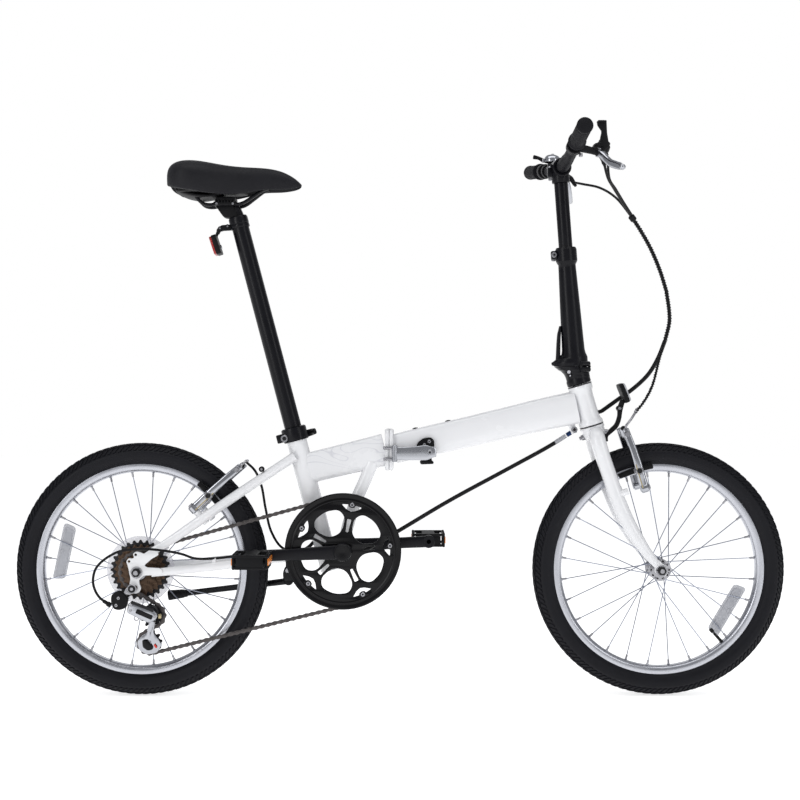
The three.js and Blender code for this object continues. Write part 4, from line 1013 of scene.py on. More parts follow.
def lower_post():
    shell = [(14.2, up(668)), (14.2, up(887.5)), (19.2, up(887.5)), (20, up(886.5)), (20, up(858)),
             (18.6, up(855.5)), (17.2, up(853)), (17.4, up(846)), (20, up(770)), (22, up(700)),
             (22.6, up(684)), (24, up(677)), (26.2, up(671.5)), (27, up(669)), (27, up(653)),
             (25.8, up(651.4)), (14.2, up(651.4))]
    body = lathe(shell, POST_FOOT, POST_UP, 56)
    middle = FOLD_PIN + Z * 5.6 + FOLD_INWARD * 5
    lobe = disc(middle - FOLD_AXIS * 14, middle + FOLD_AXIS * 14, 5.2, 1.8, 28)
    skirt = sweep([(339.2, 0, 651.4), (339.2, 0, 658), (341, 0, 665.5), (344.2, 0, 673.5), (344.2, 0, 681),
                   (344, 0, 684.2)], [26.4, 27, 26.4, 23.6, 21.6, 21.2], [33.8, 33.6, 30.6, 24.4, 22.4, 22],
                  36, 48, 2.1, Y, level=Z)
    nose = sweep([(324, 0, 668), (314, 0, 661.5), (307, 0, 657.6), (303.4, 0, 656.2)], [15, 12, 9, 6],
                 [8, 6.6, 5.4, 4], 24, 28, 2.4, Y, round_ends=3)
    parts = dressed(SATIN_BLACK, body, lobe, skirt, nose)
    for side in (-1, 1):
        spot = FOLD_PIN + FOLD_AXIS * side * 14 + FOLD_INWARD * 4
        parts.append((disc(spot - FOLD_AXIS * side * 2, spot + FOLD_AXIS * side, 3.2, 0.8, 24), DARK_STEEL))
    piece("handlepost_lower_tube", "lower_post", parts, ["lower_handlepost"], angle=32)
    clamp = post_axis(872)
    ears = []
    for side in (RIGHT, LEFT):
        centre = clamp - X * 24.5 + Y * side * 5.6
        ears.append((soft_box((11, 7.4, 17), centre, 1.8, POST_UP), SATIN_BLACK))
    ring = lathe([(17.4, -13), (20.4, -13), (21.2, -12), (21.2, 12), (20.4, 13), (17.4, 13)], clamp, POST_UP,
                 56)
    ears.append((ring, SATIN_BLACK))
    bolt = clamp - X * 25
    ears += [*dressed(STEEL, disc(bolt - Y * 14, bolt + Y * 12.5, 2.9, 0.5, 20),
                      disc(bolt - Y * 14.5, bolt - Y * 9.5, 5.4, 0.8, 24)),
             (disc(bolt - Y * 14.8, bolt - Y * 14.4, 2.5, 0.1, 6), DARK_STEEL)]
    piece("height_clamp_band", "lower_post", ears)
    pivot = joint_at("height_clamp")
    blade = sweep([pivot, pivot + vec(8, 8, 0.6), pivot + vec(20, 16.5, 1.6), pivot + vec(31, 20, 2)],
                  [3.2, 2.8, 2.4, 2.2], [7.5, 7, 6.6, 6], 24, 20, 3.0, round_ends=2)
    cam = disc(pivot - Z * 8.4, pivot + Z * 8.4, 4.6, 1.2, 24)
    piece("height_clamp_handle", "post_clamp_lever", [(blade, SATIN_BLACK), (cam, STEEL)],
          ["telescope_lever"])
    root = joint_at("handlepost_latch")
    handle = sweep([root, root + vec(0.6, 0, 12), root + vec(1.2, 0, 32), root + vec(2.4, 0, 54),
                    root + vec(4.8, 0, 70)], [7, 8, 8.6, 8.8, 6.5], [4.6, 4.2, 4, 3.6, 2.4], 32, 24, 3.0, Y,
                   round_ends=2)
    barrel = disc(root - Y * 10.4, root + Y * 10.4, 6.2, 1.2, 28)
    pads = dressed(SATIN_BLACK, handle, barrel)
    for side in (RIGHT, LEFT):
        spot = root + Y * side * 10.2
        pads.append((disc(spot, spot + Y * side * 1.4, 3.4, 0.4, 6), DARK_STEEL))
    piece("handlepost_latch_handle", "post_latch_lever", pads, ["handlepost_latch"])


# ---------------------------------------------------------------- handlebar set

BAR_TWIST = math.radians(5)
BAR_LEFT = vec(-math.sin(BAR_TWIST), math.cos(BAR_TWIST), 0)
BAR_FORWARD = vec(math.cos(BAR_TWIST), math.sin(BAR_TWIST), 0)
BAR_CENTRE = vec(318, 0, 1045)
BAR_HALF = 280
BAR_RISE = 34
BAR_STRAIGHT = 24
BAR_SWEEP = 10


def on_bar(side, along, forward=0.0, up=0.0):
    swept = max(0.0, along - 95) * BAR_SWEEP / (BAR_HALF - 95)
    rise = max(0.0, along - BAR_STRAIGHT) * BAR_RISE / (BAR_HALF - BAR_STRAIGHT)
    return BAR_CENTRE + BAR_LEFT * side * along + BAR_FORWARD * (forward - swept) + Z * (rise + up)


def bar_ring(side, start, end, radius):
    return disc(on_bar(side, start), on_bar(side, end), radius, 1.0, 36, bore=11.3)


def grip(side, word):
    """A rubber grip: ribbed middle, thick inner flange and closed outer end."""
    start, end = on_bar(side, 186), on_bar(side, 283)
    length = (end - start).length
    profile = [(11.4, 0), (16.2, 0), (17.2, 1.2), (17.2, 4), (15.4, 6)]
    for i in range(16):
        at = 8 + i * 4.9
        profile += [(14.6, at), (14.6, at + 3.0), (13.7, at + 3.5), (13.7, at + 4.5)]
    profile += [(14.6, length - 7), (15.2, length - 5), (15.2, length - 1.6), (13.8, length), (0, length),
                (0, length - 3), (11.4, length - 3)]
    rubber = lathe(profile, start, end - start, 40)
    piece(f"grip_{word}_rubber", "upper_post", [(rubber, GRIP)], [f"grip_{word}"], angle=50)


def brake_control(side, word):
    parts = [(bar_ring(side, 146, 161.5, 15.6), BLACK_PLASTIC)]
    arm = sweep([on_bar(side, 153, 9, -2), on_bar(side, 152, 22, -4), on_bar(side, 150, 38, -7),
                 on_bar(side, 151, 50, -11)], [8, 7.5, 7, 6.4], [7.4, 7, 6.4, 6], 24, 24, 2.6, round_ends=2)
    parts.append((arm, BLACK_PLASTIC))
    housing = sweep([on_bar(side, 152, 44, -9), on_bar(side, 146, 53, -14), on_bar(side, 141, 57, -20)],
                    [7, 5.8, 4.6], [7, 5.8, 4.6], 18, 24, 2.4, round_ends=1)
    parts.append((housing, BLACK_PLASTIC))
    adjuster = on_bar(side, 141, 57, -20)
    heading = (on_bar(side, 134, 62, -31) - adjuster).normalized()
    parts += dressed(BLACK_PLASTIC, disc(adjuster, adjuster + heading * 9, 4.4, 0.8, 14),
                     disc(adjuster + heading * 9, adjuster + heading * 13, 3.2, 0.5, 20))
    bolt = on_bar(side, 153.7, 12, -12)
    parts.append((disc(bolt, bolt - Z * 7, 3.6, 0.6, 20), STEEL))
    pivot = joint_at(f"brake_lever_{word}")
    axle = joint_axis(f"brake_lever_{word}")
    parts += dressed(STEEL, disc(pivot - axle * 8.4, pivot - axle * 6.0, 4.0, 0.6, 24),
                     disc(pivot + axle * 6.0, pivot + axle * 8.4, 4.0, 0.6, 24))
    piece(f"brake_perch_{word}", "upper_post", parts, [f"lever_perch_{word}"])
    blade = sweep([on_bar(side, 152, 46, -10), on_bar(side, 163, 48.5, -15), on_bar(side, 176, 56, -28),
                   on_bar(side, 190, 62.5, -40), on_bar(side, 206, 68, -48), on_bar(side, 225, 73.5, -56),
                   on_bar(side, 240, 76, -62)], [5.0, 5.4, 5.0, 4.6, 4.4, 4.6, 4.2],
                  [6.4, 7.2, 7.4, 7.6, 7.6, 7.2, 5.4], 52, 24, 2.8, round_ends=2.6)
    bulb = ball(on_bar(side, 240, 76, -62), 6.0, (1, 1, 0.9))
    piece(f"brake_blade_{word}", f"brake_lever_{word}", dressed(POLISHED, blade, bulb),
          [f"brake_lever_{word}"])


def handlebar():
    tube = lathe([(11.6, up(780)), (13.1, up(780)), (13.65, up(781)), (13.65, up(1030)), (11.6, up(1036))],
                 POST_FOOT, POST_UP)
    centre = BAR_CENTRE
    clamp = disc(centre - BAR_LEFT * 21.8, centre + BAR_LEFT * 21.8, 18.6, 1.6, 48, bore=12.9)
    socket = lathe([(13.4, up(1016)), (17, up(1016)), (17.6, up(1018)), (17.6, up(1036)), (13.4, up(1036))],
                   POST_FOOT, POST_UP, 40)
    ears = soft_box((13, 26, 9), centre - BAR_FORWARD * 19.5 - Z * 5, 2.4, BAR_LEFT, BAR_FORWARD)
    parts = dressed(SATIN_BLACK, tube, clamp, socket, ears)
    for along in (-7, 7):
        top = centre - BAR_FORWARD * 22 + BAR_LEFT * along
        parts.append((disc(top, top + Z * 3.4, 3.8, 0.6, 20), STEEL))
    for z in range(800, 860, 12):
        mark = post_axis(z)
        parts.append((lathe([(13.0, -0.3), (13.75, -0.3), (13.75, 0.3), (13.0, 0.3)], mark, POST_UP, 40),
                      DARK_STEEL))
    piece("handlepost_upper_tube", "upper_post", parts, ["upper_handlepost"], angle=32)
    path = []
    for side in (RIGHT, LEFT):
        half = [on_bar(side, along) for along in (BAR_HALF, 235, 190, 150, 112, 90, 66, 46, 30, 12)]
        path += half if side == RIGHT else half[::-1]
    tube = sweep(path, [11.1] * 7 + [12.6] * 5 + [11.1] * 7, None, 96, 32)
    piece("handlebar_tube", "upper_post", [(tube, BAR_BLACK)], ["handlebar"])
    for side, word in SIDES:
        grip(side, word)
        brake_control(side, word)
    shifter()
    bell()


def shifter():
    side = RIGHT
    pod = on_bar(side, 133, 56, 0)
    axle = joint_axis("shift_lever")
    body = lathe([(0, -2), (11.5, -2), (13.2, 0), (13.6, 5), (13.4, 10.5), (12.2, 12.4), (0, 12.4)], pod,
                 axle, 40)
    bracket = sweep([on_bar(side, 152, 34, -6), on_bar(side, 146, 44, -3), on_bar(side, 136, 53, 4)],
                    [7, 7.4, 7], [6.4, 6.6, 6], 20, 24, 2.6, round_ends=2)
    shell = soft_box((25, 22, 9), on_bar(side, 135, 50, 5), 3, axle, BAR_LEFT)
    parts = dressed(BLACK_PLASTIC, body, bracket, shell)
    spout = on_bar(side, 128, 62, 2)
    reach = (on_bar(side, 118, 70, -12) - spout).normalized()
    parts += dressed(BLACK_PLASTIC, disc(spout, spout + reach * 13, 4.4, 0.8, 14),
                     disc(spout + reach * 13, spout + reach * 20, 3.4, 0.6, 12))
    piece("shifter_body", "upper_post", parts)
    hub = joint_at("shift_lever")
    cap = lathe([(0, 0.2), (10.6, 0.2), (11.4, 1), (11.4, 3.6), (10, 5), (4, 5.8), (0, 6)], hub, axle, 40)
    screw = disc(hub + axle * 5.8, hub + axle * 6.8, 2.6, 0.3, 20)
    paddle = rounded([(-6, -10), (8.5, 2), (4, 28), (3, 51), (-4, 53), (-15, 47), (-14, 42), (-6, 31),
                      (-9, 18), (-11, 4)], 3.5, 4)
    thumb = slab(paddle, 9, on_bar(side, 143, 60, 2), -BAR_LEFT, BAR_FORWARD, bevel=2.4)
    pad = soft_box((17, 15, 5), on_bar(side, 143, 54, 51), 2.0, Z, BAR_FORWARD)
    piece("shifter_thumb_lever", "shift_lever", [*dressed(BLACK_PLASTIC, cap, thumb, pad), (screw, STEEL)],
          ["shift_lever"])


def bell():
    side = LEFT
    foot = on_bar(side, 123, 8, 11)
    top = on_bar(side, 123, 10, 36)
    axis = (top - foot).normalized()
    parts = dressed(BLACK_PLASTIC, bar_ring(side, 118, 128, 14.2), disc(foot, foot + axis * 6, 9, 1.2, 28))
    shell = [(17.2, 7), (17.6, 8), (17.4, 12), (16.2, 16.5), (13.4, 20.2), (9, 22.4), (3.2, 23.2), (0, 23.3)]
    parts += [(lathe([(0, 7)] + shell, foot, axis), POLISHED),
              (disc(foot + axis * 22.8, foot + axis * 25.2, 3.2, 0.8, 20), STEEL)]
    piece("bell_shell", "upper_post", parts, ["bell"])
    root = joint_at("bell_striker")
    tip = on_bar(side, 123, -30, 29)
    arm = sweep([root, root.lerp(tip, 0.5) + Z * 1.5, tip], [2.4, 1.8, 2.2], [4.2, 3.6, 4.4], 16, 16, 2.6,
                Z.cross(tip - root), round_ends=1.4)
    piece("bell_thumb_striker", "bell_striker",
          [(arm, BLACK_PLASTIC), (disc(root - Z * 4, root + Z * 4, 3.2, 0.6, 20), STEEL)], ["bell_striker"])


# ---------------------------------------------------------------- drivetrain

CHAIN_PITCH = 12.7
RING_TEETH = 52
SPROCKET_TEETH = 18
PULLEY_TEETH = 11
CRANK_TILT = math.radians(2.7)
CRANK_LENGTH = 170


def pitch_radius(teeth):
    return CHAIN_PITCH / (2 * math.sin(math.pi / teeth))


def crank_end(side):
    return BOTTOM_BRACKET + vec(side * CRANK_LENGTH * math.cos(CRANK_TILT), 0,
                                side * CRANK_LENGTH * math.sin(CRANK_TILT))


def toothed(teeth, thickness, centre, turn=0.0, inner=None, holes=(), depth=4.0, tooth=3.6):
    """A sprocket plate with rounded gaps between its teeth."""
    radius = pitch_radius(teeth)
    outline = []
    step = 2 * math.pi / teeth
    for i in range(teeth):
        angle = turn + i * step
        for share, reach in ((-0.30, radius - depth * 0.55), (-0.17, radius + tooth * 0.55),
                             (-0.08, radius + tooth * 0.95), (0.08, radius + tooth * 0.95),
                             (0.17, radius + tooth * 0.55), (0.30, radius - depth * 0.55),
                             (0.42, radius - depth), (0.58, radius - depth)):
            at = angle + share * step
            outline.append((reach * math.cos(at), reach * math.sin(at)))
    cuts = list(holes)
    if inner:
        cuts.append(circle(0, 0, inner, 48))
    return slab(outline, thickness, centre, -Y, X, cuts, 0.35, 1)


def chain_route():
    """Closed centre line of the chain round ring, sprocket and pulleys, as (x, z) points."""
    stops = [(BOTTOM_BRACKET, pitch_radius(RING_TEETH), 1), (REAR_HUB, pitch_radius(SPROCKET_TEETH), 1),
             (GUIDE_PULLEY, pitch_radius(PULLEY_TEETH), -1), (TENSION_PULLEY, pitch_radius(PULLEY_TEETH), 1)]
    wheels_in_order = [(stop.x, stop.z, turn * radius) for stop, radius, turn in stops]
    count = len(wheels_in_order)
    touches = []
    for i in range(count):
        ax, az, ar = wheels_in_order[i]
        bx, bz, br = wheels_in_order[(i + 1) % count]
        distance = math.hypot(bx - ax, bz - az)
        touches.append(math.atan2(bz - az, bx - ax) - math.acos((ar - br) / distance))
    route = []
    for i in range(count):
        x, z, signed = wheels_in_order[i]
        turn = math.copysign(1, signed)
        span = ((touches[i] - touches[i - 1]) * turn) % (2 * math.pi)
        steps = max(6, int(span * abs(signed) / 3))
        for k in range(steps + 1):
            angle = touches[i - 1] + turn * span * k / steps
            route.append(Vector((x + signed * math.cos(angle), z + signed * math.sin(angle))))
    return route


def chain_pins():
    """Pin places at even steps of about one pitch round the whole route."""
    route = chain_route()
    route.append(route[0])
    length = reaches(route)[-1]
    count = 2 * round(length / CHAIN_PITCH / 2)
    return [pin for pin, _ in walk(route, [length * i / count for i in range(count)])]


def link_outline(length, end_radius, waist):
    """A bushing link's side plate: two round ends and a narrow waist."""
    outline = []
    for middle, first in ((length / 2, -110), (-length / 2, 70)):
        for i in range(9):
            angle = math.radians(first + 220 * i / 8)
            outline.append((middle + end_radius * math.cos(angle), end_radius * math.sin(angle)))
        outline.append((0, waist if first < 0 else -waist))
    return outline


def chain():
    pins = chain_pins()
    verts, faces = [], []

    def stamp(geometry):
        base = len(verts)
        verts.extend(geometry[0])
        faces.extend(tuple(base + i for i in face) for face in geometry[1])

    plate = slab(link_outline(CHAIN_PITCH, 4.1, 2.7), 0.95, (0, 0, 0), bevel=0.2, rounds=1)
    pin = disc((0, -3.6, 0), (0, 3.6, 0), 1.8, 0.3, 10)
    roller = disc((0, -1.3, 0), (0, 1.3, 0), 3.85, 0.2, 14)
    for i, here in enumerate(pins):
        there = pins[(i + 1) % len(pins)]
        heading = there - here
        turn = Matrix.Rotation(-math.atan2(heading.y, heading.x), 4, "Y")
        middle = vec((here.x + there.x) / 2, CHAIN_LINE, (here.y + there.y) / 2)
        offset = 2.75 if i % 2 == 0 else 1.75
        for side in (-1, 1):
            stamp(moved(plate, Matrix.Translation(middle + Y * side * offset) @ turn))
        spot = vec(here.x, CHAIN_LINE, here.y)
        stamp(moved(pin, Matrix.Translation(spot)))
        stamp(moved(roller, Matrix.Translation(spot)))
    piece("chain_links", "rear_frame", [((verts, faces), CHAIN_STEEL)], ["chain"])


RING_TURN = math.radians(24.8)
RING_ARMS = 5
BOLT_CIRCLE = 92.5
NOTCH = [(79, 0), (82, -9), (89, -19), (95, -17), (95, -9), (87.5, -5.5), (86, 0), (87.5, 5.5), (95, 9),
         (95, 17), (89, 19), (82, 9)]


def turned(outline, angle):
    c, s = math.cos(angle), math.sin(angle)
    return [(u * c - w * s, u * s + w * c) for u, w in outline]


def chainring():
    centre = BOTTOM_BRACKET - Y * 51.3
    guard = lathe([(104.5, -1.5), (112.6, -1.5), (114, -0.6), (114, 1.2), (113, 2.3), (110.5, 2.5),
                   (107.5, 1.6), (104.5, 1.5)], centre, -Y, 128, X)
    lip = lathe([(98, 1), (103, 1), (102.4, 2.6), (100.4, 3.2), (98.6, 2.4)], centre, -Y, 128, X)
    windows = []
    for i in range(RING_ARMS):
        angle = RING_TURN + 2 * math.pi * (i + 0.25) / RING_ARMS
        corners = []
        for reach, lean in ((37, -0.36), (37, 0.36), (66, 0.5), (82, 0.34), (85.5, 0), (82, -0.34),
                            (66, -0.5)):
            corners.append((reach * math.cos(angle + lean), reach * math.sin(angle + lean)))
        windows.append(rounded(corners, 14, 6))
        arm = angle + math.pi / RING_ARMS
        slot = [(38, -2.4), (64, -4.2), (64, 4.2), (38, 2.4)]
        windows.append(rounded(turned(slot, arm), 2.2, 4))
        windows.append(rounded(turned(NOTCH, arm), 1.6, 3))
    plate = slab(circle(0, 0, 106, 120), 3.0, centre, -Y, X, windows, 0.6)
    ring = toothed(RING_TEETH, 2.2, BOTTOM_BRACKET + Y * CHAIN_LINE, 0.03, inner=92)
    parts = [*dressed(GLOSS_BLACK, guard, lip, plate), (ring, DARK_STEEL)]
    for i in range(RING_ARMS):
        spot = around(centre, BOLT_CIRCLE, RING_TURN + 2 * math.pi * (i + 0.75) / RING_ARMS, -1.4)
        parts += [(disc(spot, spot - Y * 1.9, 4.4, 0.6, 24), STEEL),
                  (disc(spot - Y * 1.7, spot - Y * 2.1, 2.1, 0.1, 6), DARK_STEEL),
                  (disc(spot, spot + Y * 6.4, 3.4, 0.3, 16), STEEL)]
    piece("chainring_and_guard", "crankset", parts, ["chainring"], angle=28)


def crank(side, word):
    inner = 57.5 if side == RIGHT else 61
    middle = side * (inner + 7)
    end = crank_end(side)
    at = lambda point, y: vec(point.x, y, point.z)
    arm = sweep([at(BOTTOM_BRACKET, middle), at(BOTTOM_BRACKET.lerp(end, 0.25), middle),
                 at(BOTTOM_BRACKET.lerp(end, 0.6), middle), at(end, middle)], [6.8, 6.4, 6.2, 6.8],
                [14.5, 12.6, 11.2, 11.6], 32, 32, 3.6, Y)
    far = disc(at(end, side * inner), at(end, side * (inner + 14)), 13, 1.8, 40)
    near = side * (53.2 if side == RIGHT else 42)
    boss = lathe([(8.6, near), (16.5, near), (17.5, near + side * 1.4), (17.5, side * (inner + 17)),
                  (16.5, side * (inner + 18.6)), (8.6, side * (inner + 18.6))], at(BOTTOM_BRACKET, 0))
    cap = lathe([(0, side * (inner + 17.5)), (15.6, side * (inner + 17.5)), (15.6, side * (inner + 18.4)),
                 (14.4, side * (inner + 19.4)), (4, side * (inner + 19.4)), (0, side * (inner + 18.6))],
                at(BOTTOM_BRACKET, 0))
    parts = [*dressed(SATIN_BLACK, arm, far, boss), (cap, GLOSS_BLACK)]
    socket = disc(at(end, side * (inner + 13.6)), at(end, side * (inner + 19)), 8.4, 0.8, 8)
    spindle = disc(at(end, side * inner), at(end, side * 176), 5.2, 0.8, 24)
    parts += dressed(DARK_STEEL, socket, spindle)
    if side == LEFT:
        parts.append((disc(at(BOTTOM_BRACKET, -50), at(BOTTOM_BRACKET, 60), 8.2, 0.6, 24), DARK_STEEL))
    piece(f"crank_arm_{word}", "crankset", parts, [f"crank_{word}"])


def pedal(side, word):
    end = crank_end(side)
    centre = vec(end.x, side * 137, end.z)
    frame_outline = rounded([(-34, -46), (34, -46), (34, 40), (26, 46.5), (-26, 46.5), (-34, 40)], 8)
    outline = [(u, w * side) for u, w in frame_outline]
    if side < 0:
        outline.reverse()
    windows = []
    for u in (-20.5, 20.5):
        windows.append(rounded([(u - 7.5, -34), (u + 7.5, -34), (u + 7.5, 32), (u - 7.5, 32)], 4, 4))
    windows = [[(u, w * side) for u, w in window] for window in windows]
    parts = []
    for height in (-11, 11):
        parts.append((slab(outline, 4.8, centre + Z * height, Z, X, windows, 1.0), BLACK_PLASTIC))
    for u in (-31.2, 31.2):
        parts.append((soft_box((5, 84, 25), centre + vec(u, -side * 2, 0), 1.6), BLACK_PLASTIC))
    for w in (-43, 43.6):
        parts.append((soft_box((50, 4.4, 25), centre + vec(0, side * w, 0), 1.4), BLACK_PLASTIC))
    parts.append((crossbar(end.x, end.z, side * 91, side * 182, 9.2, 1.6, 28, bore=5.6), BLACK_PLASTIC))
    for u in (-1, 1):
        for height in (-1, 1):
            for i in range(8):
                spot = centre + vec(u * 31.5, side * (-38 + i * 10.4), height * 13.2)
                parts.append((disc(spot, spot + Z * height * 1.6, 1.9, 0.5, 10), BLACK_PLASTIC))
        plate = centre + vec(u * 33.9, -side * 2, 0)
        lens = rounded([(-41, -6.4), (41, -6.4), (41, 6.4), (-41, 6.4)], 2, 3)
        parts.append((slab(lens, 3.6, plate - X * u * 0.6, X * u, Y, bevel=0.6), AMBER_PRISM))
    piece(f"pedal_{word}_body", f"pedal_{word}", parts, [f"pedal_{word}"])


SPROCKETS = ((28, 24.9), (24, 30.2), (22, 35.2), (20, 40.6), (18, 46.0), (16, 51.2), (14, 56.2))


def freewheel():
    parts = []
    for i, (teeth, y) in enumerate(SPROCKETS):
        material = DARK_STEEL if i == 0 else BRONZE_STEEL
        radius = pitch_radius(teeth)
        holes = []
        if teeth >= 20:
            for k in range(6):
                angle = 2 * math.pi * (k + 0.5 * (i % 2)) / 6
                u, w = (radius - 13) * math.cos(angle), (radius - 13) * math.sin(angle)
                holes.append(circle(u, w, 3.6, 14))
        parts.append((toothed(teeth, 1.9, REAR_HUB - Y * y, 0.21 * i, inner=20 if teeth > 15 else 18,
                              holes=holes, depth=3.0, tooth=2.6), material))
    parts += [(disc(REAR_HUB - Y * 24, REAR_HUB - Y * 57, 20.4, 0.6, 48, bore=8.4), DARK_STEEL),
              (disc(REAR_HUB - Y * 56.8, REAR_HUB - Y * 58.4, 17.2, 0.5, 40, bore=8.4), STEEL)]
    piece("freewheel_sprockets", "freewheel", parts, ["freewheel"], angle=26)
    guard = lathe([(22.5, -22.6), (64.5, -21.4), (66.5, -21.8), (66.5, -22.8), (64.5, -22.5), (22.5, -23.6)],
                  REAR_HUB, Y, 72)
    piece("spoke_protector", "rear_wheel", [(guard, CLEAR)])


def drivetrain():
    chainring()
    for side, word in SIDES:
        crank(side, word)
        pedal(side, word)
    freewheel()
    chain()
    derailleur()


def derailleur():
    """Rear derailleur: hanger bolt and body, sprung arm, cage and two toothed pulleys."""
    parts = [(crossbar(-519, 219.4, -71.3, -85.5, 7.4, 1.2), DARK_STEEL),
             *dressed(STEEL, crossbar(-519, 219.4, -82, -84, 9.6, 0.8, 36),
                      crossbar(-519, 219.4, -85.2, -86.0, 3.4, 0.1, 6))]
    washer = slab(rounded([(-14, -9), (4, -9), (9, 2), (2, 10), (-8, 4)], 5), 3, (-523, -79, 217), bevel=0.8)
    housing = slab(rounded([(-14, -1), (-12, 12), (3, 19), (13, 12), (20, 3), (17, -15), (2, -20),
                            (-9, -17)], 7, 6), 14, (-546, -78, 198), bevel=2.6)
    parts += [(washer, STEEL), (housing, BLACK_PLASTIC)]
    for x, z in ((-544.6, 202), (-549, 188)):
        parts += [(crossbar(x, z, -84.6, -86.2, 3.0, 0.4, 20), STEEL),
                  (crossbar(x, z, -86.0, -86.4, 1.3, 0.1, 6), DARK_STEEL)]
    parts += dressed(BLACK_PLASTIC, disc((-560, -79, 187), (-567, -80.6, 191.5), 5.0, 1.0, 16),
                     disc((-566, -80.6, 191), (-574, -82.4, 196.5), 3.6, 0.6, 16))
    piece("derailleur_body", "rear_frame", parts, ["derailleur_knuckle"])
    fall = vec(0.908, 0, -0.42).normalized()
    shell = slab(rounded([(-29, 13), (-21, 17), (19, 1), (29, -10), (23, -20), (10, -25), (-32, -5)], 5, 6),
                 10, (-497, -80, 178.5), bevel=3.0)
    label = slab(rounded([(-17, -5), (17, -4), (17, 5), (-17, 4.4)], 2.4, 4), 1.2, (-494.5, -85.3, 170.6),
                 -Y, fall, bevel=0.4)
    # The dark strip along the top facet of the polished shell is a painted reflection: a thin dark plate
    # standing for the dark surroundings mirrored there, not a steel part.
    upper = slab(rounded([(-24, -3), (24, -3.4), (22, 3.4), (-24, 3.4)], 2.4, 4), 1.6, (-498, -85.0, 186),
                 -Y, (0.935, 0, -0.354), bevel=0.6)
    knuckle = crossbar(-486, 171, -79, -57, 15.4, 2.4, 40)
    stop = soft_box((6, 4, 9), (-466, -76, 166), 1.2)
    pin = crossbar(GUIDE_PULLEY.x, GUIDE_PULLEY.z, -60, -54, 4.6, 0.5, 20)
    foot = sweep([(-478, -80, 158), (-484, -72, 146), (-488, -66, 136)], [3.6, 3.6, 3.4], [5, 4.6, 4.4], 14,
                 20, 3.0, Y)
    rivets = []
    for x, z in ((-520, 188), (-521, 178), (-474, 166)):
        rivets.append((crossbar(x, z, -84.8, -86.2, 2.8, 0.5, 20), STEEL))
    loop = lathe([(3.4, -1.4), (5.2, -1.4), (5.2, 1.4), (3.4, 1.4)], (-511, -77, 162), -Y, 24)
    piece("derailleur_arm", "derailleur",
          [(shell, POLISHED), (label, GLOSS_BLACK), (upper, DARK_STEEL), (knuckle, BLACK_PLASTIC),
           (stop, GOLD_SPRING), (pin, STEEL), (foot, POLISHED), (loop, STEEL), *rivets], ["derailleur_link"])
    along = (TENSION_PULLEY - GUIDE_PULLEY).normalized()
    middle = (GUIDE_PULLEY + TENSION_PULLEY) / 2
    reach = (TENSION_PULLEY - GUIDE_PULLEY).length / 2
    # The cage points down from the guide pulley: a narrow arm that opens into a wide foot
    outline = rounded([(-reach - 8, -6), (-reach - 6, 6), (-reach + 10, 7), (reach - 20, 5),
                       (reach - 10, 16), (reach + 2, 24.5), (reach + 18, 17), (reach + 24, -2),
                       (reach + 17, -18), (reach, -24), (reach - 12, -16), (reach - 20, -5)], 5)
    slot = rounded([(-reach + 14, -1.8), (reach - 24, -1.6), (reach - 24, 1.6), (-reach + 14, 1.8)], 1.4, 3)
    cage = []
    for y in (-53, -41):
        cage.append((slab(outline, 1.8, (middle.x, y, middle.z), -Y, along, [slot], 0.4), POLISHED))
    foot = TENSION_PULLEY - Y * 13.2
    inset = rounded([(-13, 7), (-3, 5), (6, -4), (9, -12), (-2, -15), (-12, -8)], 4)
    cage += [(slab(inset, 1.0, foot, bevel=0.3), GLOSS_BLACK),
             (slab(rounded([(-1.8, -4), (1.8, -4), (1.8, 4), (-1.8, 4)], 0.8, 3), 1.0, foot + vec(13, 0, -6),
                   -Y, (0.8, 0, 0.6), bevel=0.3), RED_ACCENT)]
    tab = rounded([(-36, -1), (-21, 8), (-17, -8), (-27, -16), (-33, -10)], 3, 4)
    hole = rounded([(-30, -2), (-24, 2), (-22, -6), (-27, -10)], 1.6, 3)
    cage.append((slab(tab, 1.6, (TENSION_PULLEY.x + 4, -41, TENSION_PULLEY.z), -Y, X, [hole], 0.4),
                 POLISHED))
    for hub in (GUIDE_PULLEY, TENSION_PULLEY):
        cage += dressed(STEEL, crossbar(hub.x, hub.z, -54.6, -40, 2.6, 0.3, 16),
                        crossbar(hub.x, hub.z, -54.2, -56.2, 4.0, 0.6, 24))
    piece("derailleur_cage_plates", "derailleur_cage", cage, ["derailleur_cage"])
    for word, hub in (("guide", GUIDE_PULLEY), ("tension", TENSION_PULLEY)):
        wheel_parts = [(toothed(PULLEY_TEETH, 3.2, hub, 0.1, inner=8, depth=4.4, tooth=2.2), BLACK_PLASTIC),
                       (disc(hub - Y * 3.4, hub + Y * 3.4, 8.4, 0.5, bore=2.9), DARK_STEEL)]
        piece(f"{word}_pulley_teeth", f"{word}_pulley", wheel_parts, [f"{word}_pulley"])


# ---------------------------------------------------------------- brakes and kickstand

PAD_REACH = 201


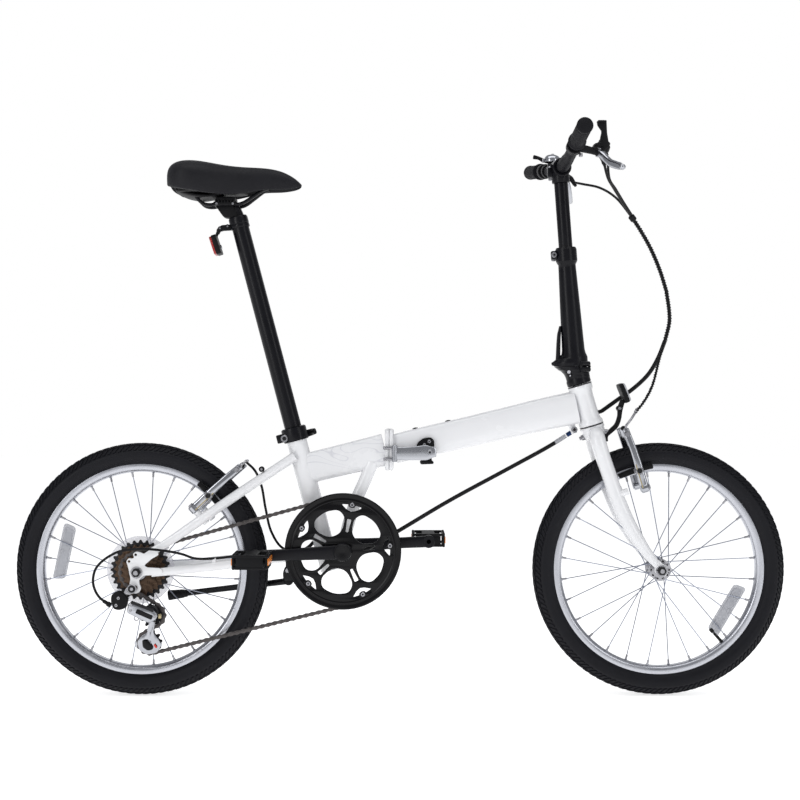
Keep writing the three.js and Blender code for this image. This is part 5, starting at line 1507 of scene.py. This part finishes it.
def brake_arms(word, hub, radial, tangent, pivot_reach, top_reach):
    """The two arms of a linear-pull brake, with their pivots, springs and shoes."""
    for side, name in SIDES:
        def at(reach, y, off, side=side):
            return hub + radial * reach + tangent * off + Y * side * y

        arm = sweep([at(pivot_reach - 4, 48, 16), at(pivot_reach + 16, 48.4, 16.4),
                     at(pivot_reach + 48, 49.5, 17.5), at(top_reach - 38, 47.5, 17.5),
                     at(top_reach - 14, 44, 16.5), at(top_reach, 41, 16)], [5.6, 5.2, 4.6, 4.6, 4.6, 4.6],
                    [9.2, 8.6, 7.8, 7.0, 6.6, 6.4], 48, 28, 3.0, Y, round_ends=2.5)
        pivot = disc(at(pivot_reach, 48, 8.8), at(pivot_reach, 48, 23.4), 8.8, 1.4, 36)
        parts = dressed(POLISHED, arm, pivot)
        parts += dressed(STEEL, hex_bar(at(pivot_reach, 48, 23.2), at(pivot_reach, 48, 27.4), 5.4),
                         disc(at(pivot_reach, 48, 23.0), at(pivot_reach, 48, 24.2), 7.4, 0.4, 28))
        spring = sweep([at(pivot_reach + 2, 56.5, 12), at(pivot_reach + 26, 55.5, 12.5),
                        at(pivot_reach + 50, 53.5, 13)], 1.2, sides=10, steps=20)
        parts += [(spring, GOLD_SPRING),
                  (disc(at(PAD_REACH, 19.5, 16), at(PAD_REACH, 56.5, 16), 3.0, 0.4, 20), STEEL)]
        for near, far, wide in ((25.5, 30.5, 7.4), (31, 35.5, 7.8), (52.5, 55.2, 7.6)):
            parts.append((disc(at(PAD_REACH, near, 16), at(PAD_REACH, far, 16), wide, 1.2, 28), STEEL))
        parts.append((hex_bar(at(PAD_REACH, 55.2, 16), at(PAD_REACH, 60, 16), 5.4), DARK_STEEL))
        shoe = sweep([at(199.2, 20.4, -20), at(200.8, 20.4, 0), at(201.4, 20.4, 16), at(200.6, 20.4, 32),
                      at(198.8, 20.4, 47)], [4.2, 4.8, 5.0, 4.8, 4.2], [4.8, 5.6, 5.8, 5.4, 4.6], 32, 24,
                     3.4, Y, round_ends=2)
        parts.append((shoe, BLACK_PLASTIC))
        if side == RIGHT:
            fix = at(top_reach - 8, 48.5, 16)
            parts += dressed(STEEL, disc(fix, fix - Y * 4.4, 4.4, 0.6, 6),
                             disc(fix + Y * 1.5, fix - Y * 0.4, 6.2, 0.5, 28))
        piece(f"{word}_brake_{name}", f"{word}_brake_arm_{name}", parts, [f"{word}_brake_arm_{name}"])


def boot(word, hub, radial, tangent, top_reach, noodle_start, body):
    """The bent steel noodle, the cable between the arm tops and its ribbed rubber boot."""
    at = lambda reach, y, off: hub + radial * reach + tangent * off + Y * y
    top = top_reach + 3
    elbow = at(top + 4, -53, 17)
    tube = sweep([noodle_start, noodle_start.lerp(elbow, 0.5) - Y * 4, elbow, at(top, -49, 16),
                  at(top - 1, -38, 16)], 2.5, sides=16, steps=36)
    outward = (noodle_start - at(top, -54, 18)).normalized()
    cap = disc(noodle_start, noodle_start + outward * 10, 3.4, 0.6, 20)
    wire = sweep([at(top - 1, -40, 16), at(top - 1, 0, 16), at(top - 4, 48, 16)], 0.9, sides=10, steps=10)
    parts = dressed(STEEL, tube, cap, wire)
    profile = [(1.6, 0)]
    for i in range(9):
        wide = 3.2 + 2.0 * math.sin(math.pi * (i + 1) / 10)
        profile += [(wide, i * 3.6 + 0.4), (wide - 1.4, i * 3.6 + 2.4)]
    profile += [(1.6, 33)]
    parts.append((lathe(profile, at(top - 1, -34, 16), Y, 24), CABLE_BLACK))
    piece(f"{word}_brake_noodle", body, parts)


def brakes():
    rows = (
        # wheel, hub, way from the hub, reach of the pivot and of the arm's top, noodle's start, body
        ("rear", REAR_HUB, (0.735, 0, 0.678), 162, 284, vec(-305, -20, 463), "rear_frame"),
        ("front", FRONT_HUB, (-0.3, 0, 0.954), 165, 285, vec(462, -34, 560), "fork"),
    )
    for word, hub, way, pivot_reach, top_reach, noodle_start, body in rows:
        radial = Vector(way).normalized()
        tangent = vec(-radial.z, 0, radial.x) * math.copysign(1, radial.x)
        brake_arms(word, hub, radial, tangent, pivot_reach, top_reach)
        boot(word, hub, radial, tangent, top_reach, noodle_start, body)


def kickstand():
    plate = slab(rounded([(-15, -14), (12, -14), (15, 2), (10, 15), (-12, 15), (-17, 0)], 6), 6,
                 (-219, 27, 237), bevel=1.2)
    bolt = dressed(STEEL, hex_bar((-211, 21, 240), (-211, 33.5, 240), 5.0),
                   hex_bar((-226, 21, 243), (-226, 33.5, 243), 5.0))
    arm = sweep([(-219, 27, 268), (-219, 27, 254), (-219, 27, 240)], [4, 4, 4], [11, 11, 11], 14, 24, 3.0, Y)
    piece("kickstand_bracket", "rear_frame", [*dressed(SATIN_BLACK, plate, arm), *bolt])
    leg = sweep([(-226, 40, 220), (-262, 45, 215), (-330, 55, 206), (-440, 70, 191)], [6.6, 6.2, 6, 6], None,
                40, 24)
    knuckle = disc((-224.2, 30.6, 222), (-228, 50, 222), 10, 1.6)
    screw = disc((-228, 49.6, 222), (-228.4, 52, 222), 5.0, 0.5, 24)
    foot = sweep([(-434, 69.3, 191.8), (-444, 70.6, 190.5), (-458, 72.4, 188.6), (-471, 74, 187)],
                 [7.4, 8.6, 8.8, 9.0], [7.4, 9.0, 9.6, 10.5], 20, 24, 2.6, Y, round_ends=2)
    piece("kickstand_leg_and_foot", "kickstand",
          [*dressed(SATIN_BLACK, leg, knuckle), (screw, STEEL), (foot, CABLE_BLACK)], ["kickstand_leg"])


# ---------------------------------------------------------------- cables

def cable(name, points, radius, body=None, span=None, replaces=(), steps=60, wrap=False):
    """A cable housing. It rides on one body, or, given a span, is baked in place on no body."""
    path = smooth_path(points, steps)
    parts = [(sweep(path, radius, sides=14, straight=True), CABLE_BLACK)]
    if wrap:
        parts.append((spiral(path, radius), CABLE_BLACK))
    made = piece(name, body, parts, replaces)
    if span:
        first, second, start, end = span
        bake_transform(made)
    return made


def spiral(path, radius):
    """The flat plastic spiral wound round a bundle of cables."""
    pitch, lift = 5.4, 0.36
    length = reaches(path)[-1]
    count = int(length / pitch * 12)
    targets = [length * (i + 0.5) / count for i in range(count)]
    points = []
    normal = Y.copy()
    for target, (centre, k) in zip(targets, walk(path, targets)):
        tangent = (path[k + 1] - path[k]).normalized()
        normal = (normal - tangent * normal.dot(tangent)).normalized()
        other = tangent.cross(normal)
        angle = 2 * math.pi * target / pitch
        points.append(centre + (normal * math.cos(angle) + other * math.sin(angle)) * (radius + lift))
    return sweep(points, 1.3, 0.7, sides=6, straight=True)


def cables():
    """Held cables: a wrapped bundle from bar to frame, then along the beam and the stays."""
    right = on_bar(RIGHT, 140, 58, -22)
    left = on_bar(LEFT, 140, 58, -22)
    # The upper bundle crosses the post's slide, the middle one its fold and the lower one the steering
    top = [right, (398, -104, 1011), (413, -74, 996), (436, -34, 974), (462, 6, 948)]
    cable("right_brake_housing", top, 2.5, "upper_post", replaces=["control_cables"], steps=40)
    top = [on_bar(RIGHT, 121, 69, -8), (404, -84, 1012), (420, -56, 996), (441, -22, 974), (464, 8, 949)]
    cable("shift_housing", top, 2.5, "upper_post", steps=40)
    top = [left, (377, 112, 1030), (407, 80, 1018), (435, 45, 993), (462, 6, 948)]
    cable("left_brake_housing", top, 2.5, "upper_post", steps=40)
    bundle = [(462, 6, 948), (484, 14, 916), (503, 19, 883), (520, 19, 842), (532, 18, 803)]
    cable("bundle_upper", bundle, 3.5, None,
          ("upper_post", "lower_post", vec(467, 8, 940), vec(531, 18, 806)), wrap=True)
    bundle = [(532, 18, 803), (537.5, 17, 763), (538, 18, 740), (530, 20, 704)]
    cable("bundle_middle", bundle, 3.5, None, ("lower_post", "fork", vec(533, 18, 798), vec(531, 20, 708)),
          wrap=True)
    bundle = [(530, 20, 704), (516, 23, 668), (497, 26, 636), (468, 28, 608), (440, 29, 588), (404, 31, 562)]
    cable("bundle_lower", bundle, 4.2, None, ("fork", "front_frame", vec(528, 20, 700), vec(408, 31, 565)))
    front = [(533, 18, 716), (516, 2, 668), (498, -16, 612), (480, -30, 582), (462, -34, 560)]
    cable("front_brake_housing", front, 2.1, "fork", wrap=True)
    collar = disc((459, 4, 951), (466, 8, 943), 6.6, 1.0, 28)
    piece("bundle_collars", "upper_post", [(collar, CABLE_BLACK)])
    beam_run = [(404, 31, 562), (360, 27, 551), (300, 24, 540), (200, 23, 517), (120, 23.4, 499),
                (64, 24.5, 486)]
    cable("beam_cables", beam_run, 4.0, "front_frame")
    clips = []
    for x, z in ((330, 545.5), (230, 524), (130, 501)):
        clips.append((soft_box((12, 8, 15), (x, 23, z), 1.6), BLACK_PLASTIC))
    piece("beam_cable_clips", "front_frame", clips)
    hinge_run = [(64, 24.5, 486), (30, 30, 478), (4, 42, 472), (-22, 50, 469), (-48, 42, 464),
                 (-80, 30, 455)]
    cable("hinge_cables", hinge_run, 4.0, None,
          ("rear_frame", "front_frame", vec(-78, 32, 456), vec(60, 32, 484)))
    rear_run = [(-80, 30, 455), (-118, 28, 448), (-150, 27, 441), (-175, 27, 427), (-182, 27, 406),
                (-173, 27, 372), (-164, 27, 335), (-168, 24, 311), (-178, 12, 296), (-189, 3, 288),
                (-198, 0, 285)]
    cable("rear_frame_cables", rear_run, 3.6, "rear_frame", replaces=["frame_cables"])
    brake = [(-196, 0, 286), (-233, 0, 290), (-256, 0, 322), (-268, 0, 370), (-276, 0, 414), (-288, -6, 444),
             (-305, -20, 463)]
    cable("rear_brake_housing", brake, 2.5, "rear_frame", replaces=["rear_brake_cable"])
    shift = [(-200, -33, 291), (-252, -36, 288), (-308, -46, 281.5), (-364, -55, 275.5), (-400, -66, 277),
             (-424, -73, 286), (-462, -81, 294), (-504, -85, 297), (-543, -85, 292), (-571, -85, 277),
             (-588, -85, 259), (-593.5, -85, 236), (-590, -84, 218), (-582, -83, 204), (-572, -82, 195)]
    cable("rear_shift_housing", shift, 2.5, "rear_frame", replaces=["shift_cable"], steps=90)
    stops = []
    for x, y, z in ((-252, -34, 284), (-364, -53, 271.5)):
        stops.append((soft_box((9, 8, 12), (x, y, z), 1.6), PAINT))
    stops += [(crossbar(-272, 449, -34, -43, 5.6, 1.0, 24), CABLE_BLACK),
              (crossbar(-272, 449, -42.8, -44, 2.4, 0.2, 16), STEEL)]
    piece("stay_cable_clips", "rear_frame", stops)


# ---------------------------------------------------------------- seatpost and saddle

def seatpost():
    tube = lathe([(14.8, 0), (16.4, 0), (16.95, 0.8), (16.95, 538), (14.8, 538)], seat_axis(413), -SEAT_DOWN,
                 56)
    collar = lathe([(16.8, 0), (18.4, 0), (19, 1), (19, 7), (18.4, 8), (19.2, 9), (19.2, 20), (17.6, 23.4),
                    (13, 24.6), (0, 24.6), (0, 2), (16.8, 2)], seat_axis(926), -SEAT_DOWN, 56)
    dot = seat_axis(938) + vec(0, -18.9, 0)
    parts = [*dressed(SATIN_BLACK, tube, collar), (disc(dot, dot - Y * 0.7, 1.5, 0.2, 12), DARK_STEEL)]
    neck = sweep([(-318, 0, 943), (-321, 0, 954), (-328, 0, 966)], [13, 13, 14], [9, 9, 10], 16, 32, 3.0, Y)
    wedge = slab(rounded([(-23, 7), (14, 7), (19, -4), (26, -19), (0, -19), (-6, -17)], 3, 4), 30,
                 (-345, 0, 965), bevel=2.4)
    parts += [(neck, SATIN_BLACK), (wedge, BLACK_PLASTIC)]
    cradle = soft_box((46, 54, 8), (-346, 0, 972.4), 2.6)
    cap = soft_box((38, 50, 9), (-345, 0, 981.6), 2.4)
    parts += dressed(BLACK_PLASTIC, cradle, cap)
    for x in range(-364, -327, 6):
        parts.append((soft_box((2.6, 56, 6), (x, 0, 977), 0.8), BLACK_PLASTIC))
    for x in (-362, -330):
        parts.append((crossbar(x, 972, -24, -28.4, 2.4, 0.4, 16), STEEL))
    piece("seatpost_tube_and_head", "seatpost", parts, ["seatpost"], angle=34)
    rear_reflector()


def lens_outline(half_width, half_height, radius):
    corners = [(-half_width, -half_height), (half_width, -half_height), (half_width, half_height),
               (-half_width, half_height)]
    return rounded(corners, radius, 6)


def rear_reflector():
    arm = slab(rounded([(16, -5), (16, 7), (-10, 5), (-20, -3), (-20, -12), (-15, -14), (-13, -8), (-6, -6)],
                       2.4, 4), 9, (-345, 0, 927), bevel=1.4)
    hanger = sweep([(-363, 0, 918), (-366, 0, 906), (-362, 0, 892), (-360, 0, 882)], [5, 4.6, 4.6, 5.2],
                   [2.8, 2.6, 2.6, 3.2], 24, 24, 3.4, Y, round_ends=1)
    parts = dressed(BLACK_PLASTIC, arm, hanger)
    for x, z in ((-343, 929.5), (-358, 925.5)):
        parts += [(crossbar(x, z, -5.4, 5.4, 4.2, 0.8, 24), DARK_STEEL),
                  (crossbar(x, z, -6.2, -5.2, 2.0, 0.2, 6), STEEL)]
    face = vec(-0.95, 0, -0.31).normalized()
    centre = vec(-369, 0, 891)
    parts += [(slab(lens_outline(23, 20, 9), 10, centre - face * 5.0, face, Y, bevel=1.6), BLACK_PLASTIC),
              (slab(lens_outline(21.5, 18.5, 8), 5.4, centre + face * 1.6, face, Y, bevel=1.0), RED_PRISM)]
    screw = centre - face * 10 - Z * 6
    parts.append((disc(screw, screw - face * 5, 4.2, 0.6, 6), STEEL))
    piece("rear_reflector", "seatpost", parts)


# Saddle sections from tail to nose: place along X, half width, top, waist height and skirt height
SADDLE = ((-459.5, 30, 1033, 1020, 1009), (-456, 52, 1042, 1022, 1004), (-448, 66, 1049.5, 1024, 1000),
          (-436, 76, 1054.5, 1026, 997), (-420, 81, 1056.5, 1027, 994.5), (-400, 80, 1056, 1025, 991.5),
          (-378, 72, 1053, 1023, 989), (-356, 60, 1049.5, 1021, 987.5), (-334, 47, 1047, 1019, 987.5),
          (-310, 37, 1045.5, 1019, 991), (-288, 31, 1045, 1019, 996.5), (-266, 28, 1044, 1020, 1000),
          (-244, 26.5, 1040.5, 1019.5, 999.5), (-228, 25, 1035, 1017.5, 1000.5),
          (-213, 22, 1027, 1015, 1002.5), (-203, 17.5, 1019.5, 1012, 1005),
          (-197.5, 10, 1014, 1011, 1007.5),)


def saddle_ring(x, half, top, waist, skirt):
    """One cross-section: a crowned top, a full shoulder and a side that tucks in to the skirt."""
    ring = []
    dip = 3.2 if half > 50 else 1.2
    shape = ((0.0, top - dip), (0.16, top - dip * 0.6), (0.34, top), (0.55, top - 1.0),
             (0.74, top - (top - waist) * 0.16), (0.89, top - (top - waist) * 0.42),
             (0.97, top - (top - waist) * 0.72), (1.0, waist), (0.985, waist - (waist - skirt) * 0.45),
             (0.95, waist - (waist - skirt) * 0.8), (0.92, skirt), (0.84, skirt - 0.6), (0.78, skirt + 2.5),
             (0.7, skirt + 8), (0.35, skirt + 11), (0.0, skirt + 12),)
    for share, z in shape:
        ring.append(vec(x, -share * half, min(z, top)))
    for share, z in reversed(shape[1:-1]):
        ring.append(vec(x, share * half, min(z, top)))
    return ring


def saddle():
    rings = [saddle_ring(*row) for row in SADDLE]
    count = len(rings[0])
    verts = [point for ring in rings for point in ring]
    faces = []
    for i in range(len(rings) - 1):
        faces += skin(range(i * count, (i + 1) * count), range((i + 1) * count, (i + 2) * count))
    for row, flip in ((0, True), (len(rings) - 1, False)):
        middle = len(verts)
        centre = sum(rings[row], vec(0, 0, 0)) / count
        verts.append(centre + X * (-1.6 if flip else 2.0))
        for k in range(count):
            j = (k + 1) % count
            face = (row * count + k, row * count + j, middle)
            faces.append(tuple(reversed(face)) if flip else face)
    pad = piece("saddle_cushion", "seatpost", [((verts, faces), LEATHER)], ["saddle"], angle=80, subdivide=2)
    shell = slab(rounded([(-440, -40), (-420, -62), (-390, -62), (-350, -42), (-310, -22), (-300, 0),
                          (-310, 22), (-350, 42), (-390, 62), (-420, 62), (-440, 40)], 14), 9, (0, 0, 997),
                 Z, bevel=2.4)
    lower = sweep([(-440, 0, 998), (-424, 0, 992), (-398, 0, 987), (-372, 0, 988), (-350, 0, 994)],
                  [40, 44, 42, 34, 22], [4, 5, 5, 4, 4], 24, 32, 3.0, Y, round_ends=2)
    rails = []
    for side in (RIGHT, LEFT):
        rails.append((sweep([(-420, side * 34, 1000), (-410, side * 32, 995), (-400, side * 28, 982),
                             (-389, side * 24, 972.4), (-374, side * 22, 970), (-345, side * 22, 976.6),
                             (-322, side * 22, 971), (-310, side * 21, 974), (-292, side * 17, 986),
                             (-272, side * 12, 1000), (-262, side * 10, 1004)], 3.5, sides=16, steps=56),
                      SATIN_BLACK))
    piece("saddle_shell_and_rails", "seatpost", [*dressed(BLACK_PLASTIC, shell, lower), *rails])


def seat_clamp():
    middle = seat_axis(517)
    band = lathe([(17.2, -14), (23.6, -14), (24.8, -13), (25, -11), (25, 10.6), (24.4, 12.6), (21, 14.2),
                  (17.2, 14.2)], middle, -SEAT_DOWN, 56)
    parts = [(band, SATIN_BLACK)]
    for side in (RIGHT, LEFT):
        parts.append((soft_box((18, 10, 17), (-236, side * 7.6, 508), 2.2, -SEAT_DOWN), SATIN_BLACK))
    nut = vec(-229, 0, 508.5)
    parts += [(disc(nut - Y * 13, nut - Y * 22.5, 7.2, 1.0), STEEL),
              (disc(nut - Y * 22.3, nut - Y * 23.6, 4.4, 0.4, 6), DARK_STEEL),
              (disc(nut - Y * 20, nut + Y * 16, 3.0, 0.4, 20), STEEL)]
    piece("seat_clamp_band", "rear_frame", parts, ["seat_clamp"])
    pivot = joint_at("seat_clamp")
    cam = disc(pivot + SEAT_DOWN * 7.4, pivot - SEAT_DOWN * 7.4, 8.2, 1.6)
    blade = sweep([(-231, 27, 509), (-222, 33, 510), (-205, 35.4, 513), (-188, 32.5, 517.5), (-176, 24, 521),
                   (-171, 15, 522.5)], [3.4, 3.4, 3.2, 3.0, 3.2, 3.6], [6.4, 7, 7.4, 7.4, 7, 6], 40, 24, 3.0,
                  round_ends=2)
    piece("seat_clamp_handle", "seat_clamp_lever", dressed(SATIN_BLACK, cam, blade), ["seat_clamp_lever"])


# ---------------------------------------------------------------- front reflector

def front_reflector():
    lug = vec(345, -9, 526)
    piece("cable_lug_bolt", "front_frame",
          [(disc(lug + Y * 2, lug - Y * 3, 6.2, 1.0, 28), STEEL),
           (disc(lug - Y * 2.8, lug - Y * 4.2, 3.0, 0.4, 6), DARK_STEEL)])
    nut = vec(369, 0, 512)
    piece("crown_nut", "fork", dressed(STEEL, disc(nut, nut - vec(9, 0, 3), 5.6, 0.8, 28),
                                       disc(nut - vec(8, 0, 2.7), nut - vec(13, 0, 4.3), 3.6, 0.6, 6)))
    arm = sweep([(409, 0, 503), (409, 0, 514), (418, 0, 523), (429, 0, 534), (435, 0, 550), (437, 0, 568),
                 (442, 0, 584)], [7, 7, 6.4, 6.2, 6.2, 6.6, 7], [3.6, 4.4, 4.8, 4.6, 4.4, 5.4, 5.0], 36, 24,
                3.4, Y, round_ends=1)
    face = vec(0.93, 0, 0.37).normalized()
    centre = vec(447, 0, 600)
    parts = [(arm, BLACK_PLASTIC)]
    parts += [(crossbar(435, 568, -9, 9, 5.6, 0.8, 28), BLACK_PLASTIC),
              (crossbar(435, 568, -8.8, -10.4, 3.2, 0.5, 20), STEEL),
              (slab(lens_outline(24, 20, 9), 9, centre - face * 4.6, face, Y, bevel=1.6), BLACK_PLASTIC),
              (slab(lens_outline(22.5, 18.5, 8), 4.4, centre + face * 0.8, face, Y, bevel=1.2), CLEAR_PRISM),
              (disc((402, 0, 521), (413, 0, 520), 6.4, 0.8, 28), STEEL)]
    piece("front_reflector", "fork", parts)


# ---------------------------------------------------------------- build

studio()
wheels()
rear_frame()
front_frame()
fork()
base_hinge()
lower_post()
handlebar()
drivetrain()
brakes()
kickstand()
cables()
seatpost()
saddle()
seat_clamp()
front_reflector()
